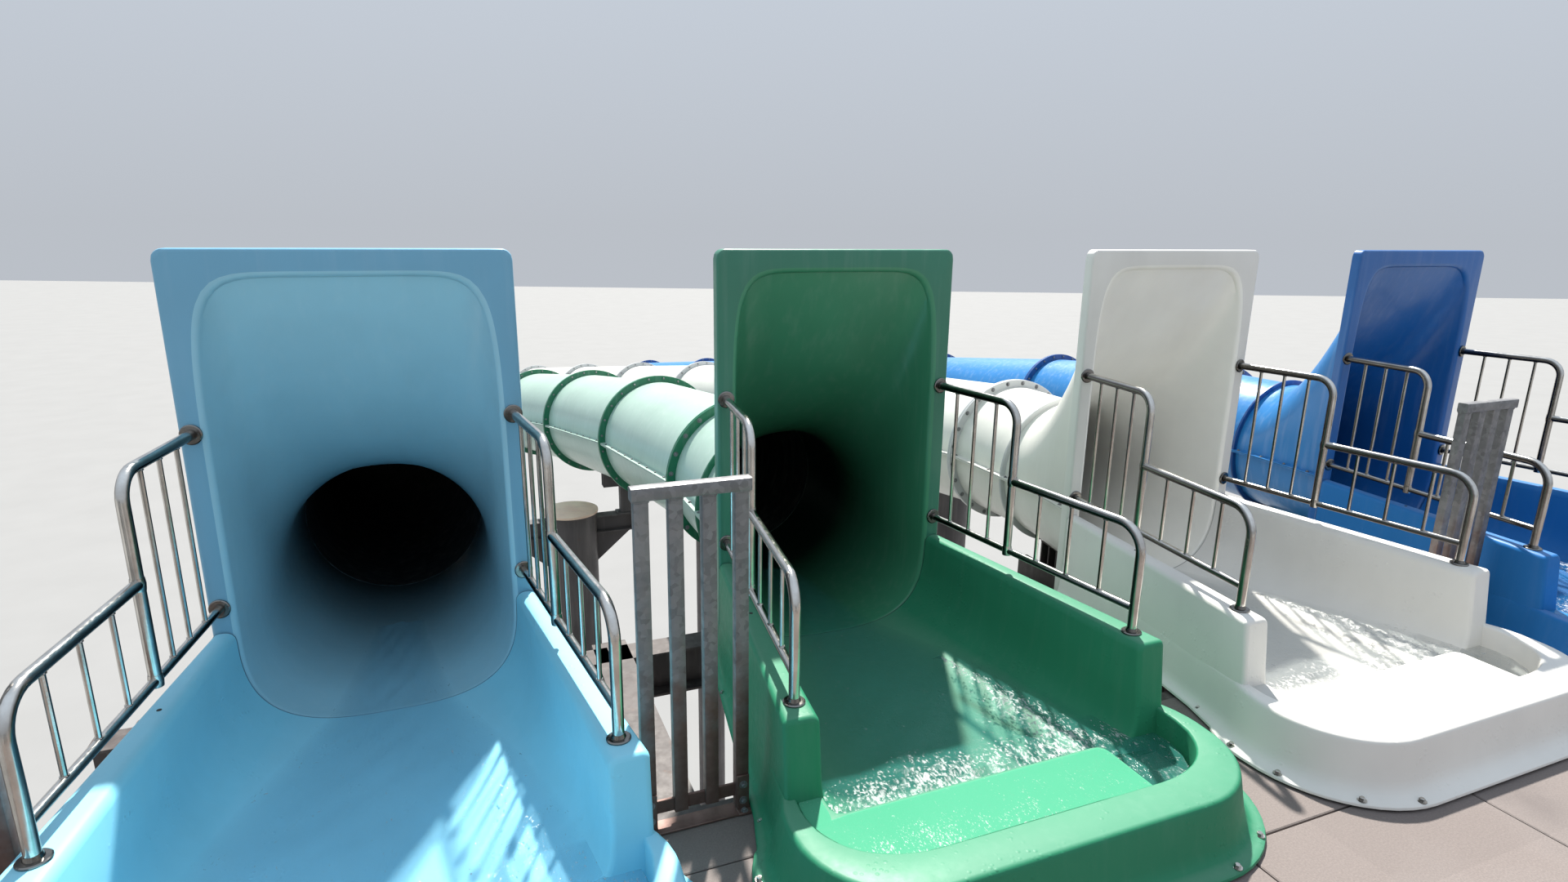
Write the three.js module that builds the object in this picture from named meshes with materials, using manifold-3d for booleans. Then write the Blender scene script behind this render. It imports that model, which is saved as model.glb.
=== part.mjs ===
// Water slide tower: four enclosed slide starts on a deck, their first flume bays, and the steel tower.
// Millimetres, +Z up. X runs along the row of starts, riders leave along +Y, the stair is at -Y.
import * as THREE from 'three';
import { mergeVertices } from 'three/addons/utils/BufferGeometryUtils.js';
import Module from 'manifold-3d';

const wasm = await Module();
wasm.setup();

// Row of starts
const START_NAMES = ['light_blue', 'green', 'white', 'dark_blue'];
const PITCH = 2250;
const START_X = [-1.5 * PITCH, -0.5 * PITCH, 0.5 * PITCH, 1.5 * PITCH];

// Deck
const DECK_Z = 12000;
const SLAB_T = 180;
const DECK_HALF = 5000;
const DECK_BACK = -4700;
const DECK_FRONT = -1100;

// Start tub
const WALL_L = 1450;
const WALL_TOP = DECK_Z + 550;
const WALL_OUT = [660, 885];
const WALL_IN = [575, 740];
const RIM_TOP = DECK_Z + 250;
const RIM_REACH = 620;
const RIM_CORNER = 380;
const FOOT_OUT = 110;
const FLOOR_Z = DECK_Z + 50;
const SHELF_Z = DECK_Z + 232;
const SHELF_BACK = -WALL_L - 160;
const SHELF_END = 455;

// Headwall and funnel
const HEAD_HALF = 660;
const HEAD_TOP = DECK_Z + 2150;
const HEAD_T = 60;
const BORE_R = 490;
const SHELL = 18;
const BORE_Z = DECK_Z + 545;
const MOUTH_HALF = 560;
const MOUTH_TOP = HEAD_TOP - 115;
const MOUTH_BOTTOM = DECK_Z + 46;
const HOOD_L = 800;
const FUNNEL_L = 1500;

// Flume bays
const BAY_L = 2000;
const HEADING = [4, 8, 11, 14, 17, 20];
const SLOPE = [5, 7, 8, 8, 8, 8];
const RING_OUT = 58;
const RING_T = 20;
const EAR_OUT = 46;
const EAR_T = 9;

// Tower frame
const COLUMN_X = [-4500, -2250, 0, 2250, 4500];
const ROW_Y = [-4300, 600];
const COLUMN = 200;
const BEAM_H = 300;
const FRAME_TOP = DECK_Z - SLAB_T - BEAM_H;
const LEVELS = [4000, 8000];

// Stair
const RISE = 3000;
const STEPS = 18;
const GOING = 280;
const STAIR_HALF = ((STEPS - 1) * GOING) / 2;
const LANDING_L = 1200;
const LANE_IN = [-5980, -4880];
const LANE_OUT = [-7180, -6080];
const POST = 120;

// The origin is on the ground under the middle of the whole footprint
const MIDDLE = [-718, 2960];

const v3 = (x, y, z) => new THREE.Vector3(x, y, z);
const rad = (d) => (d * Math.PI) / 180;

const material = (colour, roughness, metalness) =>
  new THREE.MeshStandardMaterial({ color: colour, roughness, metalness });

const START_COLOURS = [0x6fb8c6, 0x1f8a55, 0xe9e6dc, 0x0f5fa8];
const gelcoat = START_COLOURS.map((c) => material(c, 0.3, 0));
const FLUME_COLOURS = [0x8fc7cf, 0x8fd3b6, 0xe9e6dc, 0x2f7cc4];
const flumeGelcoat = FLUME_COLOURS.map((c) => material(c, 0.35, 0));
const stainless = material(0xb9b7b2, 0.25, 1);
const galvanised = material(0x8d8a85, 0.55, 0.8);
const darkSteel = material(0x4a4240, 0.6, 0.5);
const greySteel = material(0x75706c, 0.55, 0.6);
const paving = material(0xcbbfb0, 0.9, 0);

const group = new THREE.Group();
const tower = new THREE.Group();
tower.position.set(-MIDDLE[0], -MIDDLE[1], 0);
group.add(tower);

// A closed triangle mesh becomes a solid for joining and cutting
function solidOf(geometry) {
  const g = geometry.clone();
  g.deleteAttribute('normal');
  g.deleteAttribute('uv');
  const m = mergeVertices(g, 0.001);
  const vertProperties = new Float32Array(m.attributes.position.array);
  const triVerts = new Uint32Array(m.index.array);
  return new wasm.Manifold(new wasm.Mesh({ numProp: 3, vertProperties, triVerts }));
}

function geometryOf(solid) {
  const mesh = solid.getMesh();
  const g = new THREE.BufferGeometry();
  g.setAttribute('position', new THREE.BufferAttribute(new Float32Array(mesh.vertProperties), 3));
  g.setIndex(new THREE.BufferAttribute(new Uint32Array(mesh.triVerts), 1));
  return g;
}

function join(solids) {
  return solids.reduce((a, b) => a.add(b));
}

function addNode(name, solid, mat) {
  const mesh = new THREE.Mesh(geometryOf(solid), mat);
  mesh.name = name;
  tower.add(mesh);
}

function box(x0, x1, y0, y1, z0, z1) {
  const g = new THREE.BoxGeometry(x1 - x0, y1 - y0, z1 - z0);
  g.translate((x0 + x1) / 2, (y0 + y1) / 2, (z0 + z1) / 2);
  return solidOf(g);
}

// A straight bar of rectangular section, w across and h up
function bar(p, q, w, h) {
  const dir = q.clone().sub(p);
  const length = dir.length();
  dir.normalize();
  const up = Math.abs(dir.z) > 0.999 ? v3(0, 1, 0) : v3(0, 0, 1);
  const side = dir.clone().cross(up).normalize();
  const top = side.clone().cross(dir);
  const g = new THREE.BoxGeometry(w, length, h);
  const m = new THREE.Matrix4().makeBasis(side, dir, top);
  m.setPosition(p.clone().add(q).multiplyScalar(0.5));
  g.applyMatrix4(m);
  return solidOf(g);
}

// A round bar with few sides
function rod(p, q, radius, sides) {
  const dir = q.clone().sub(p);
  const g = new THREE.CylinderGeometry(radius, radius, dir.length(), sides);
  const turn = new THREE.Quaternion().setFromUnitVectors(v3(0, 1, 0), dir.clone().normalize());
  g.applyQuaternion(turn);
  const mid = p.clone().add(q).multiplyScalar(0.5);
  g.translate(mid.x, mid.y, mid.z);
  return solidOf(g);
}

// An outline in plan raised from z0 to z1
function plate(outline, z0, z1) {
  const shape = new THREE.Shape(outline.map(([x, y]) => new THREE.Vector2(x, y)));
  const g = new THREE.ExtrudeGeometry(shape, { depth: z1 - z0, bevelEnabled: false });
  g.translate(0, 0, z0);
  return solidOf(g);
}

// An outline in the XZ plane, from y0 to y1
function slice(outline, y0, y1) {
  const shape = new THREE.Shape(outline.map(([x, z]) => new THREE.Vector2(x, z)));
  const g = new THREE.ExtrudeGeometry(shape, { depth: y1 - y0, bevelEnabled: false });
  g.rotateX(Math.PI / 2);
  g.translate(0, y1, 0);
  return solidOf(g);
}

// Rings of equal point counts joined into one skin; looped closes the last ring to the first
function loft(rings, looped) {
  const n = rings[0].length;
  const pos = [];
  rings.forEach((ring) => ring.forEach((p) => pos.push(p.x, p.y, p.z)));
  const index = [];
  const last = looped ? rings.length : rings.length - 1;
  for (let i = 0; i < last; i += 1) {
    const a = i * n;
    const b = ((i + 1) % rings.length) * n;
    for (let j = 0; j < n; j += 1) {
      const k = (j + 1) % n;
      index.push(a + j, b + j, b + k, a + j, b + k, a + k);
    }
  }
  if (!looped) {
    const e = (rings.length - 1) * n;
    for (let j = 1; j < n - 1; j += 1) {
      index.push(0, j, j + 1);
      index.push(e, e + j + 1, e + j);
    }
  }
  let volume = 0;
  for (let t = 0; t < index.length; t += 3) {
    const [a, b, c] = [0, 1, 2].map((k) => v3(...pos.slice(3 * index[t + k], 3 * index[t + k] + 3)));
    volume += a.dot(b.cross(c));
  }
  if (volume < 0) {
    for (let t = 0; t < index.length; t += 3) {
      [index[t + 1], index[t + 2]] = [index[t + 2], index[t + 1]];
    }
  }
  const g = new THREE.BufferGeometry();
  g.setAttribute('position', new THREE.BufferAttribute(new Float32Array(pos), 3));
  g.setIndex(index);
  return solidOf(g);
}

// A round tube along points, with mitred joints
function pipe(points, radius, sides) {
  const rings = points.map((p, i) => {
    const back = p.clone().sub(points[Math.max(i - 1, 0)]).normalize();
    const on = points[Math.min(i + 1, points.length - 1)].clone().sub(p).normalize();
    const dir = back.clone().add(on).normalize();
    const flat = v3(0, 0, 1).cross(back.lengthSq() > 0 ? back : on);
    const side = flat.lengthSq() > 1e-6 ? flat.normalize() : null;
    return { p, dir, side, back, on };
  });
  const side = rings.find((r) => r.side !== null).side;
  return loft(
    rings.map((r) => {
      const up = side.clone().cross(r.dir).normalize();
      const bend = Math.acos(Math.min(1, Math.max(-1, r.dir.dot(r.on.lengthSq() > 0 ? r.on : r.back))));
      const stretch = 1 / Math.cos(bend);
      const ring = [];
      for (let j = 0; j < sides; j += 1) {
        const t = (2 * Math.PI * (j + 0.5)) / sides;
        ring.push(
          r.p
            .clone()
            .addScaledVector(side, radius * Math.cos(t))
            .addScaledVector(up, radius * stretch * Math.sin(t)),
        );
      }
      return ring;
    }),
    false,
  );
}

// Angles round a section, with two close pairs at each side where the half shells meet
const BASE = 12;
const SECTION = [];
for (let j = 0; j < BASE; j += 1) {
  const deg = (360 * (j + 0.5)) / BASE;
  if (j === 0 || j === BASE / 2) {
    const at = j === 0 ? 0 : 180;
    SECTION.push({ at, ear: -2 }, { at, ear: -1 }, { at, ear: 1 }, { at, ear: 2 });
  }
  SECTION.push({ at: deg, ear: 0 });
}

// Points of one section: u sideways, w up, from the centre; half sizes and squareness differ up and down
function sectionPoints(a, up, down, nUp, nDown, ears) {
  return SECTION.map(({ at, ear }) => {
    const sign = at === 180 ? -1 : 1;
    if (ear !== 0) {
      const outer = Math.abs(ear) === 1;
      const tall = (outer ? EAR_T - 0.6 : EAR_T) * Math.sign(ear) * sign;
      return [sign * (a + (outer && ears ? EAR_OUT : outer ? 0.3 : 0)), tall];
    }
    const c = Math.cos(rad(at));
    const s = Math.sin(rad(at));
    const n = s > 0 ? nUp : nDown;
    const b = s > 0 ? up : down;
    return [
      a * Math.sign(c) * Math.abs(c) ** (2 / n),
      b * Math.sign(s) * Math.abs(s) ** (2 / n),
    ];
  });
}

// Size of the funnel's section at a distance behind the headwall
function funnelSize(y, extra) {
  const t = Math.min(1, Math.max(0, y / HOOD_L));
  const k = (1 - t) ** 2;
  return {
    a: BORE_R + (MOUTH_HALF - BORE_R) * k + extra,
    up: BORE_R + (MOUTH_TOP - BORE_Z - BORE_R) * k + extra,
    down: BORE_R + (BORE_Z - MOUTH_BOTTOM - BORE_R) * k + extra,
    nUp: 2 + 6 * (1 - t) ** 1.5,
    nDown: 2 + 1.1 * (1 - t),
  };
}

function funnelRing(x, y, extra, ears) {
  const f = funnelSize(y, extra);
  return sectionPoints(f.a, f.up, f.down, f.nUp, f.nDown, ears).map(([u, w]) => v3(x + u, y, BORE_Z + w));
}

// Headwall outline points that match the section's points, with clipped corners
function headRing(x, y) {
  const clip = 55;
  const low = DECK_Z;
  return SECTION.map(({ at, ear }) => {
    const sign = at === 180 ? -1 : 1;
    if (ear !== 0) {
      const tall = (Math.abs(ear) === 1 ? 20 : 60) * Math.sign(ear) * sign;
      return v3(x + sign * HEAD_HALF, y, BORE_Z + tall);
    }
    const c = Math.cos(rad(at));
    const s = Math.sin(rad(at));
    const top = s > 0 ? HEAD_TOP : low;
    const inward = s > 0 ? -clip : clip;
    if (Math.abs(c) > 0.9) return v3(x + Math.sign(c) * HEAD_HALF, y, BORE_Z + (top - BORE_Z) * 0.5);
    if (Math.abs(c) > 0.5) return v3(x + Math.sign(c) * HEAD_HALF, y, top + inward);
    return v3(x + Math.sign(c) * (HEAD_HALF - clip), y, top);
  });
}

function funnel(x) {
  const inside = [0, 90, 200, 330, 500, 800, FUNNEL_L].map((y) => funnelRing(x, y, 0, false));
  const ringRadius = BORE_R + SHELL + RING_OUT;
  const ringPoints = sectionPoints(ringRadius, ringRadius, ringRadius, 2, 2, false);
  const flange = (y) => ringPoints.map(([u, w]) => v3(x + u, y, BORE_Z + w));
  const behind = [FUNNEL_L - RING_T, 800, 500, 330, 200, 120];
  const outside = behind.map((y) => funnelRing(x, y, SHELL, true));
  const rings = [
    ...inside,
    flange(FUNNEL_L),
    flange(FUNNEL_L - RING_T),
    ...outside,
    funnelRing(x, HEAD_T, SHELL, true),
    headRing(x, HEAD_T),
    headRing(x, 0),
  ];
  return loft(rings, true);
}

// Joints of one flume: point and direction at each bay end
function flumeJoints(x) {
  const joints = [{ p: v3(x, FUNNEL_L, BORE_Z), d: v3(0, 1, 0) }];
  const dirs = HEADING.map((h, i) => {
    const flat = Math.cos(rad(SLOPE[i]));
    return v3(-Math.sin(rad(h)) * flat, Math.cos(rad(h)) * flat, -Math.sin(rad(SLOPE[i])));
  });
  let p = joints[0].p;
  dirs.forEach((d, i) => {
    p = p.clone().addScaledVector(d, BAY_L);
    const next = dirs[i + 1] ? dirs[i + 1] : d;
    joints.push({ p, d: d.clone().add(next).normalize() });
  });
  return joints;
}

function flumeRing(joint, along, radius, ears) {
  const side = joint.d.clone().cross(v3(0, 0, 1)).normalize();
  const up = side.clone().cross(joint.d);
  const centre = joint.p.clone().addScaledVector(joint.d, along);
  return sectionPoints(radius, radius, radius, 2, 2, ears).map(([u, w]) =>
    centre.clone().addScaledVector(side, u).addScaledVector(up, w),
  );
}

// Two bays of a flume in one piece, from the joint named first
function flume(x, first) {
  const joints = flumeJoints(x).slice(first, first + 3);
  const skin = BORE_R + SHELL;
  const last = joints.length - 1;
  const gap = first > 0 ? 0.3 : 0;
  const rings = joints.map((j, i) => flumeRing(j, i === 0 ? gap : 0, BORE_R, false));
  for (let i = last; i >= 0; i -= 1) {
    const j = joints[i];
    const far = i === last ? 0 : RING_T;
    const near = i === 0 ? gap : -RING_T;
    if (i < last) rings.push(flumeRing(j, far, skin, true));
    rings.push(flumeRing(j, far, skin + RING_OUT, false));
    rings.push(flumeRing(j, near, skin + RING_OUT, false));
    if (i > 0) rings.push(flumeRing(j, near, skin, true));
  }
  return loft(rings, true);
}

// The plain outer body of one bay, a little larger, to shape what carries it
function bayEnvelope(x, bay) {
  const joints = flumeJoints(x);
  const radius = BORE_R + SHELL + 0.4;
  const low = flumeRing(joints[bay + 1], -RING_T, radius, false);
  const high = flumeRing(joints[bay], RING_T, radius, false);
  return loft([low, high], false);
}

function mirrored(half) {
  return [...half, ...half.map(([x, y]) => [-x, y]).reverse()];
}

function shifted(outline, x) {
  return outline.map(([px, py]) => [px + x, py]);
}

// Plan outline of the low basin at one height: straight sides, a slight bulge, round front corners
function basinRing(x, z, grow) {
  const side = grow / 2;
  const cx = WALL_OUT[1] + 50 - RIM_CORNER;
  const cy = -WALL_L - RIM_REACH + RIM_CORNER;
  const half = [
    [WALL_OUT[0] + side, 0],
    [WALL_OUT[1] + side, -WALL_L],
    [WALL_OUT[1] + 27 + 0.6 * grow, -WALL_L - 60],
    [WALL_OUT[1] + 50 + grow, -WALL_L - 150],
  ];
  for (let k = 0; k <= 5; k += 1) {
    const t = rad(-18 * k);
    half.push([cx + (RIM_CORNER + grow) * Math.cos(t), cy + (RIM_CORNER + grow) * Math.sin(t)]);
  }
  return [[0, 0], ...mirrored(half)].map(([px, py]) => v3(x + px, py, z));
}

// The rider's trough between the walls: a round U at the headwall that opens into a box at the front
function trough(x) {
  const section = (y) => {
    const t = Math.max(0, -y / WALL_L);
    const half = WALL_IN[0] + (WALL_IN[1] - WALL_IN[0]) * t;
    const n = 3 + 3.5 * Math.min(1, t);
    const points = [v3(x + half, y, WALL_TOP + 60)];
    for (let k = 0; k <= 8; k += 1) {
      const c = Math.cos(rad(22.5 * k));
      const s = Math.sin(rad(22.5 * k));
      const across = half * Math.sign(c) * Math.abs(c) ** (2 / n);
      points.push(v3(x + across, y, WALL_TOP - (WALL_TOP - FLOOR_Z) * Math.abs(s) ** (2 / n)));
    }
    points.push(v3(x - half, y, WALL_TOP + 60));
    return points;
  };
  return loft([10, -450, -950, -WALL_L, SHELF_BACK].map(section), false);
}

function tub(x) {
  const skirt = [
    [RIM_TOP, 0],
    [DECK_Z + 75, 30],
    [DECK_Z + 40, 48],
    [DECK_Z + 24, FOOT_OUT],
    [DECK_Z, FOOT_OUT],
  ];
  const walls = mirrored([
    [WALL_OUT[0], 0],
    [WALL_OUT[1], -WALL_L],
  ]);
  // Inner edge of the rim, right half
  const inner = [
    [830, -WALL_L - 1],
    [845, -1500],
    [852, -1590],
    [838, -1680],
    [780, -1780],
    [690, -1850],
    [570, -1890],
    [SHELF_END, -1900],
  ];
  const pocket = [[SHELF_END, SHELF_BACK + 20], [700, -WALL_L - 1], ...inner];
  return join([
    loft(
      skirt.map(([z, grow]) => basinRing(x, z, grow)),
      false,
    ),
    plate(shifted(walls, x), RIM_TOP - 5, WALL_TOP),
  ])
    .subtract(trough(x))
    .subtract(plate(shifted(mirrored(inner), x), SHELF_Z, WALL_TOP + 50))
    .subtract(plate(shifted(pocket, x), FLOOR_Z, WALL_TOP + 50));
}

// Side railing on a tub wall; side is -1 for left and 1 for right
function startRail(x, side) {
  const mid = [(WALL_IN[0] + WALL_OUT[0]) / 2, (WALL_IN[1] + WALL_OUT[1]) / 2];
  const at = (s, z) => v3(x + side * (mid[0] + ((mid[1] - mid[0]) * s) / WALL_L), -s, WALL_TOP + z);
  const r = 21;
  const upTop = 870;
  const lowTop = 480;
  const foot = 112;
  const upEnd = 590;
  const lowEnd = 1360;
  const corner = (s, z, bend) => [at(s - bend, z), at(s - bend * 0.3, z - bend * 0.3), at(s, z - bend)];
  const pieces = [
    pipe([at(6, upTop), ...corner(upEnd, upTop, 100), at(upEnd, foot)], r, 6),
    pipe([at(upEnd - 12, lowTop), ...corner(lowEnd, lowTop, 120), at(lowEnd, 6)], r, 6),
    pipe([at(6, foot), at(lowEnd, foot)], r * 0.9, 6),
    rod(at(0, upTop), at(12, upTop), 42, 6),
    rod(at(0, foot), at(12, foot), 42, 6),
    rod(at(lowEnd, 0), at(lowEnd, 10), 40, 6),
  ];
  const picket = (s, top) => pieces.push(rod(at(s, foot), at(s, top), 9, 4));
  [1, 2, 3].forEach((k) => picket((upEnd * k) / 4, upTop - 4));
  [1, 2, 3].forEach((k) => picket(upEnd + ((lowEnd - upEnd) * k) / 4, lowTop - 4));
  const solid = join(pieces);
  // The ends are cut flush with the headwall and the wall top
  const keep = box(x - 1200, x + 1200, -WALL_L, 0, WALL_TOP, HEAD_TOP);
  return solid.intersect(keep);
}

// Fence panel of upright bars at the deck's front edge
function fencePanel(x, half, uprights) {
  const y = DECK_FRONT - 60;
  const z0 = DECK_Z + 60;
  const z1 = DECK_Z + 1380;
  const parts = [
    box(x - half - 8, x + half + 8, y - 30, y + 22, z1 - 50, z1),
    box(x - half, x + half, y - 6, y + 6, z0, z0 + 55),
    box(x - half, x + half, y - 60, y + 24, DECK_Z, DECK_Z + 12),
  ];
  for (let k = 0; k < uprights; k += 1) {
    const cx = x - half + 27 + (k * (2 * half - 54)) / (uprights - 1);
    const low = k === 0 || k === uprights - 1 ? DECK_Z : z0;
    parts.push(box(cx - 27, cx + 27, y - 20, y + 20, low, z1 - 20));
  }
  return join(parts);
}

// Guard along X or Y: posts, top box, bottom bar and flat uprights
function guard(from, to, fixed, alongX) {
  const z0 = DECK_Z + 90;
  const z1 = DECK_Z + 1130;
  const piece = (a0, a1, t, z2, z3) =>
    alongX
      ? box(a0, a1, fixed - t / 2, fixed + t / 2, z2, z3)
      : box(fixed - t / 2, fixed + t / 2, a0, a1, z2, z3);
  const parts = [piece(from, to, 52, z1 - 50, z1), piece(from, to, 12, z0, z0 + 50)];
  const bays = Math.round((to - from) / 1200);
  for (let k = 0; k <= bays; k += 1) {
    const c = from + 27 + (k * (to - from - 54)) / bays;
    parts.push(piece(c - 27, c + 27, 30, DECK_Z, z1 - 20));
  }
  return join(parts);
}

// One side of the tower: five columns, cross beams and cross bracing in the outer bays
function rowFrame(y) {
  const parts = [];
  COLUMN_X.forEach((x) => {
    parts.push(box(x - COLUMN / 2, x + COLUMN / 2, y - COLUMN / 2, y + COLUMN / 2, 0, FRAME_TOP));
    parts.push(box(x - 225, x + 225, y - 225, y + 225, 0, 30));
  });
  LEVELS.forEach((z) => parts.push(box(COLUMN_X[0], COLUMN_X[4], y - 70, y + 70, z - 200, z)));
  const floors = [300, ...LEVELS, FRAME_TOP - 50];
  [0, 3].forEach((b) => {
    for (let k = 0; k < 3; k += 1) {
      const low = floors[k] + (k ? -100 : 0);
      const high = floors[k + 1] - 100;
      parts.push(bar(v3(COLUMN_X[b], y, low), v3(COLUMN_X[b + 1], y, high), 60, 90));
      parts.push(bar(v3(COLUMN_X[b + 1], y, low), v3(COLUMN_X[b], y, high), 60, 90));
    }
  });
  return join(parts);
}

// Ties between the two rows at one level, with zigzag bracing in plan and braces at both sides
function levelTies(z) {
  const y0 = ROW_Y[0];
  const y1 = ROW_Y[1];
  const parts = [];
  COLUMN_X.forEach((x) => parts.push(box(x - 60, x + 60, y0 + 100, y1 - 100, z - 200, z)));
  for (let b = 0; b < 4; b += 1) {
    const flip = b % 2;
    const a = v3(COLUMN_X[b], flip ? y1 - 40 : y0 + 40, z - 100);
    const c = v3(COLUMN_X[b + 1], flip ? y0 + 40 : y1 - 40, z - 100);
    parts.push(bar(a, c, 80, 80));
  }
  const clear = box(-4560, 4560, y0 + 70, y1 - 70, z - 200, z);
  let solid = join(parts).intersect(clear);
  const storeys = z === LEVELS[0] ? [[260, z - 120], [z - 80, LEVELS[1] - 290]] : [[z - 80, FRAME_TOP - 90]];
  [COLUMN_X[0], COLUMN_X[4]].forEach((x) =>
    storeys.forEach(([low, high]) => {
      const brace = bar(v3(x, y0 + 60, low), v3(x, y1 - 60, high), 60, 90);
      solid = solid.add(brace.intersect(box(x - 60, x + 60, y0 + 100, y1 - 100, 0, FRAME_TOP)));
    }),
  );
  ROW_Y.forEach((y) =>
    COLUMN_X.forEach((x) => {
      solid = solid.subtract(box(x - 100, x + 100, y - 100, y + 100, z - 300, z + 100));
    }),
  );
  return solid;
}

// Grid of beams under the slab, reaching forward to carry the funnels on cradles
function deckFrame() {
  const z0 = FRAME_TOP;
  const z1 = DECK_Z - SLAB_T;
  const parts = COLUMN_X.map((x) => box(x - 100, x + 100, ROW_Y[0] - 200, ROW_Y[1] + 150, z0, z1));
  [ROW_Y[0], -1250, ROW_Y[1]].forEach((y) => {
    parts.push(box(COLUMN_X[0] - 250, COLUMN_X[4] + 250, y - 90, y + 90, z0 + 20, z1));
  });
  START_X.forEach((x) => {
    const cradle = box(x - 270, x + 270, ROW_Y[1] - 90, ROW_Y[1] + 90, z1 - 20, DECK_Z + 170);
    const above = loft(
      [800, 500, 330, 200].map((y) => funnelRing(x, y, SHELL + 0.4, false)),
      false,
    );
    parts.push(cradle.subtract(above));
  });
  return join(parts);
}

// Round column with a flat cap and two arms that carry the flumes to either side
function pylon(first, along) {
  const spot = [first, first + 1].map((i) => {
    const joints = flumeJoints(START_X[i]);
    const a = joints[along].p;
    const b = joints[along + 1].p;
    return a.clone().add(b).multiplyScalar(0.5);
  });
  const mid = spot[0].clone().add(spot[1]).multiplyScalar(0.5);
  const under = spot[0].z - BORE_R - SHELL;
  const top = under - 300;
  const x = mid.x + 560;
  const y = mid.y;
  const parts = [
    rod(v3(x, y, 20), v3(x, y, top), 254, 16),
    rod(v3(x, y, top - 30), v3(x, y, top), 275, 16),
    rod(v3(x, y, 0), v3(x, y, 40), 430, 12),
  ];
  const armTop = top - 90;
  parts.push(box(spot[0].x - 60, spot[1].x + 60, y - 70, y + 70, armTop - 180, armTop));
  spot.forEach((s, k) => {
    const block = box(s.x - 230, s.x + 230, y - 60, y + 60, under - 90, under + 130);
    parts.push(box(s.x - 60, s.x + 60, y - 60, y + 60, armTop - 100, under - 40));
    parts.push(block.subtract(bayEnvelope(START_X[first + k], along)));
  });
  return join(parts);
}

// One flight: solid steps with a level soffit line, two stringers and two guards
function flight(z0, lane, towardPlus) {
  const sx = towardPlus ? 1 : -1;
  const x0 = -STAIR_HALF * sx;
  const riser = RISE / STEPS;
  const [y0, y1] = lane;
  const outline = [[x0, z0]];
  for (let k = 0; k < STEPS - 1; k += 1) {
    outline.push([x0 + sx * GOING * k, z0 + riser * (k + 1)]);
    outline.push([x0 + sx * GOING * (k + 1), z0 + riser * (k + 1)]);
  }
  const last = outline[outline.length - 1];
  outline.push([last[0], last[1] - riser - 70]);
  outline.push([x0 + sx * 110, z0]);
  const run = (STEPS - 1) * GOING;
  const nose = (d) => z0 + riser + (d * (RISE - riser)) / run;
  const rail = (y, w, high, h) => {
    const at = (d) => [x0 + sx * d, nose(d) + high];
    const a = at(0);
    const b = at(run);
    return slice([a, b, [b[0], b[1] + h], [a[0], a[1] + h]], y - w / 2, y + w / 2);
  };
  const parts = [slice(outline, y0 + 20, y1 - 20)];
  [y0 + 20, y1 - 20].forEach((y) => {
    parts.push(rail(y, 40, -250, 290));
    parts.push(rail(y, 44, 1000, 50));
    for (let k = 0; k < 5; k += 1) {
      const d = 40 + (k * (run - 80)) / 4;
      const px = x0 + sx * d;
      parts.push(box(px - 20, px + 20, y - 20, y + 20, nose(d) - 120, nose(d) + 1010));
    }
  });
  const keep = box(-STAIR_HALF, STAIR_HALF, y0 - 10, y1 + 10, z0, z0 + RISE + 1300);
  return join(parts).intersect(keep);
}

// Four posts with two landings and their guards; side is 1 at the +X end and -1 at the -X end
function stairFrame(side, heights) {
  const inner = STAIR_HALF;
  const outer = STAIR_HALF + LANDING_L;
  const yOut = LANE_OUT[0] - POST;
  const yIn = LANE_IN[1] + POST;
  const top = heights[heights.length - 1] + 1080;
  const span = (a, b) => (side > 0 ? [a, b] : [-b, -a]);
  const part = (a, b, y0, y1, z0, z1) => {
    const [x0, x1] = span(a, b);
    return box(x0, x1, y0, y1, z0, z1);
  };
  const parts = [];
  [yOut, yIn - POST].forEach((y) => {
    [inner, outer - POST].forEach((x) => {
      parts.push(part(x, x + POST, y, y + POST, 0, top));
      parts.push(part(x - (x === inner ? 0 : 60), x + POST + 60, y - 60, y + POST + 60, 0, 20));
    });
  });
  heights.forEach((z) => {
    const back = z === DECK_Z ? DECK_BACK : yIn;
    parts.push(part(inner, outer, yOut, back, z - 100, z));
    [1030, 550].forEach((h) => {
      parts.push(part(outer - 80, outer - 40, yOut, yIn, z + h, z + h + 50));
      parts.push(part(inner, outer, yOut + 40, yOut + 80, z + h, z + h + 50));
      if (z === DECK_Z) {
        parts.push(part(inner + 10, inner + 50, yOut, LANE_OUT[1] + 20, z + h, z + h + 50));
      } else {
        parts.push(part(inner, outer, yIn - 80, yIn - 40, z + h, z + h + 50));
      }
    });
    if (z === DECK_Z) {
      parts.push(part(inner + 5, inner + 55, LANE_OUT[1] - 20, LANE_OUT[1] + 30, z - 20, z + 1080));
    }
  });
  return join(parts);
}

addNode('deck_slab', box(-DECK_HALF, DECK_HALF, DECK_BACK, DECK_FRONT, DECK_Z - SLAB_T, DECK_Z), paving);
addNode('deck_frame', deckFrame(), darkSteel);
addNode('front_frame', rowFrame(ROW_Y[1]), darkSteel);
addNode('rear_frame', rowFrame(ROW_Y[0]), darkSteel);
LEVELS.forEach((z, i) => addNode(`level_ties_${i + 1}`, levelTies(z), darkSteel));

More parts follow.
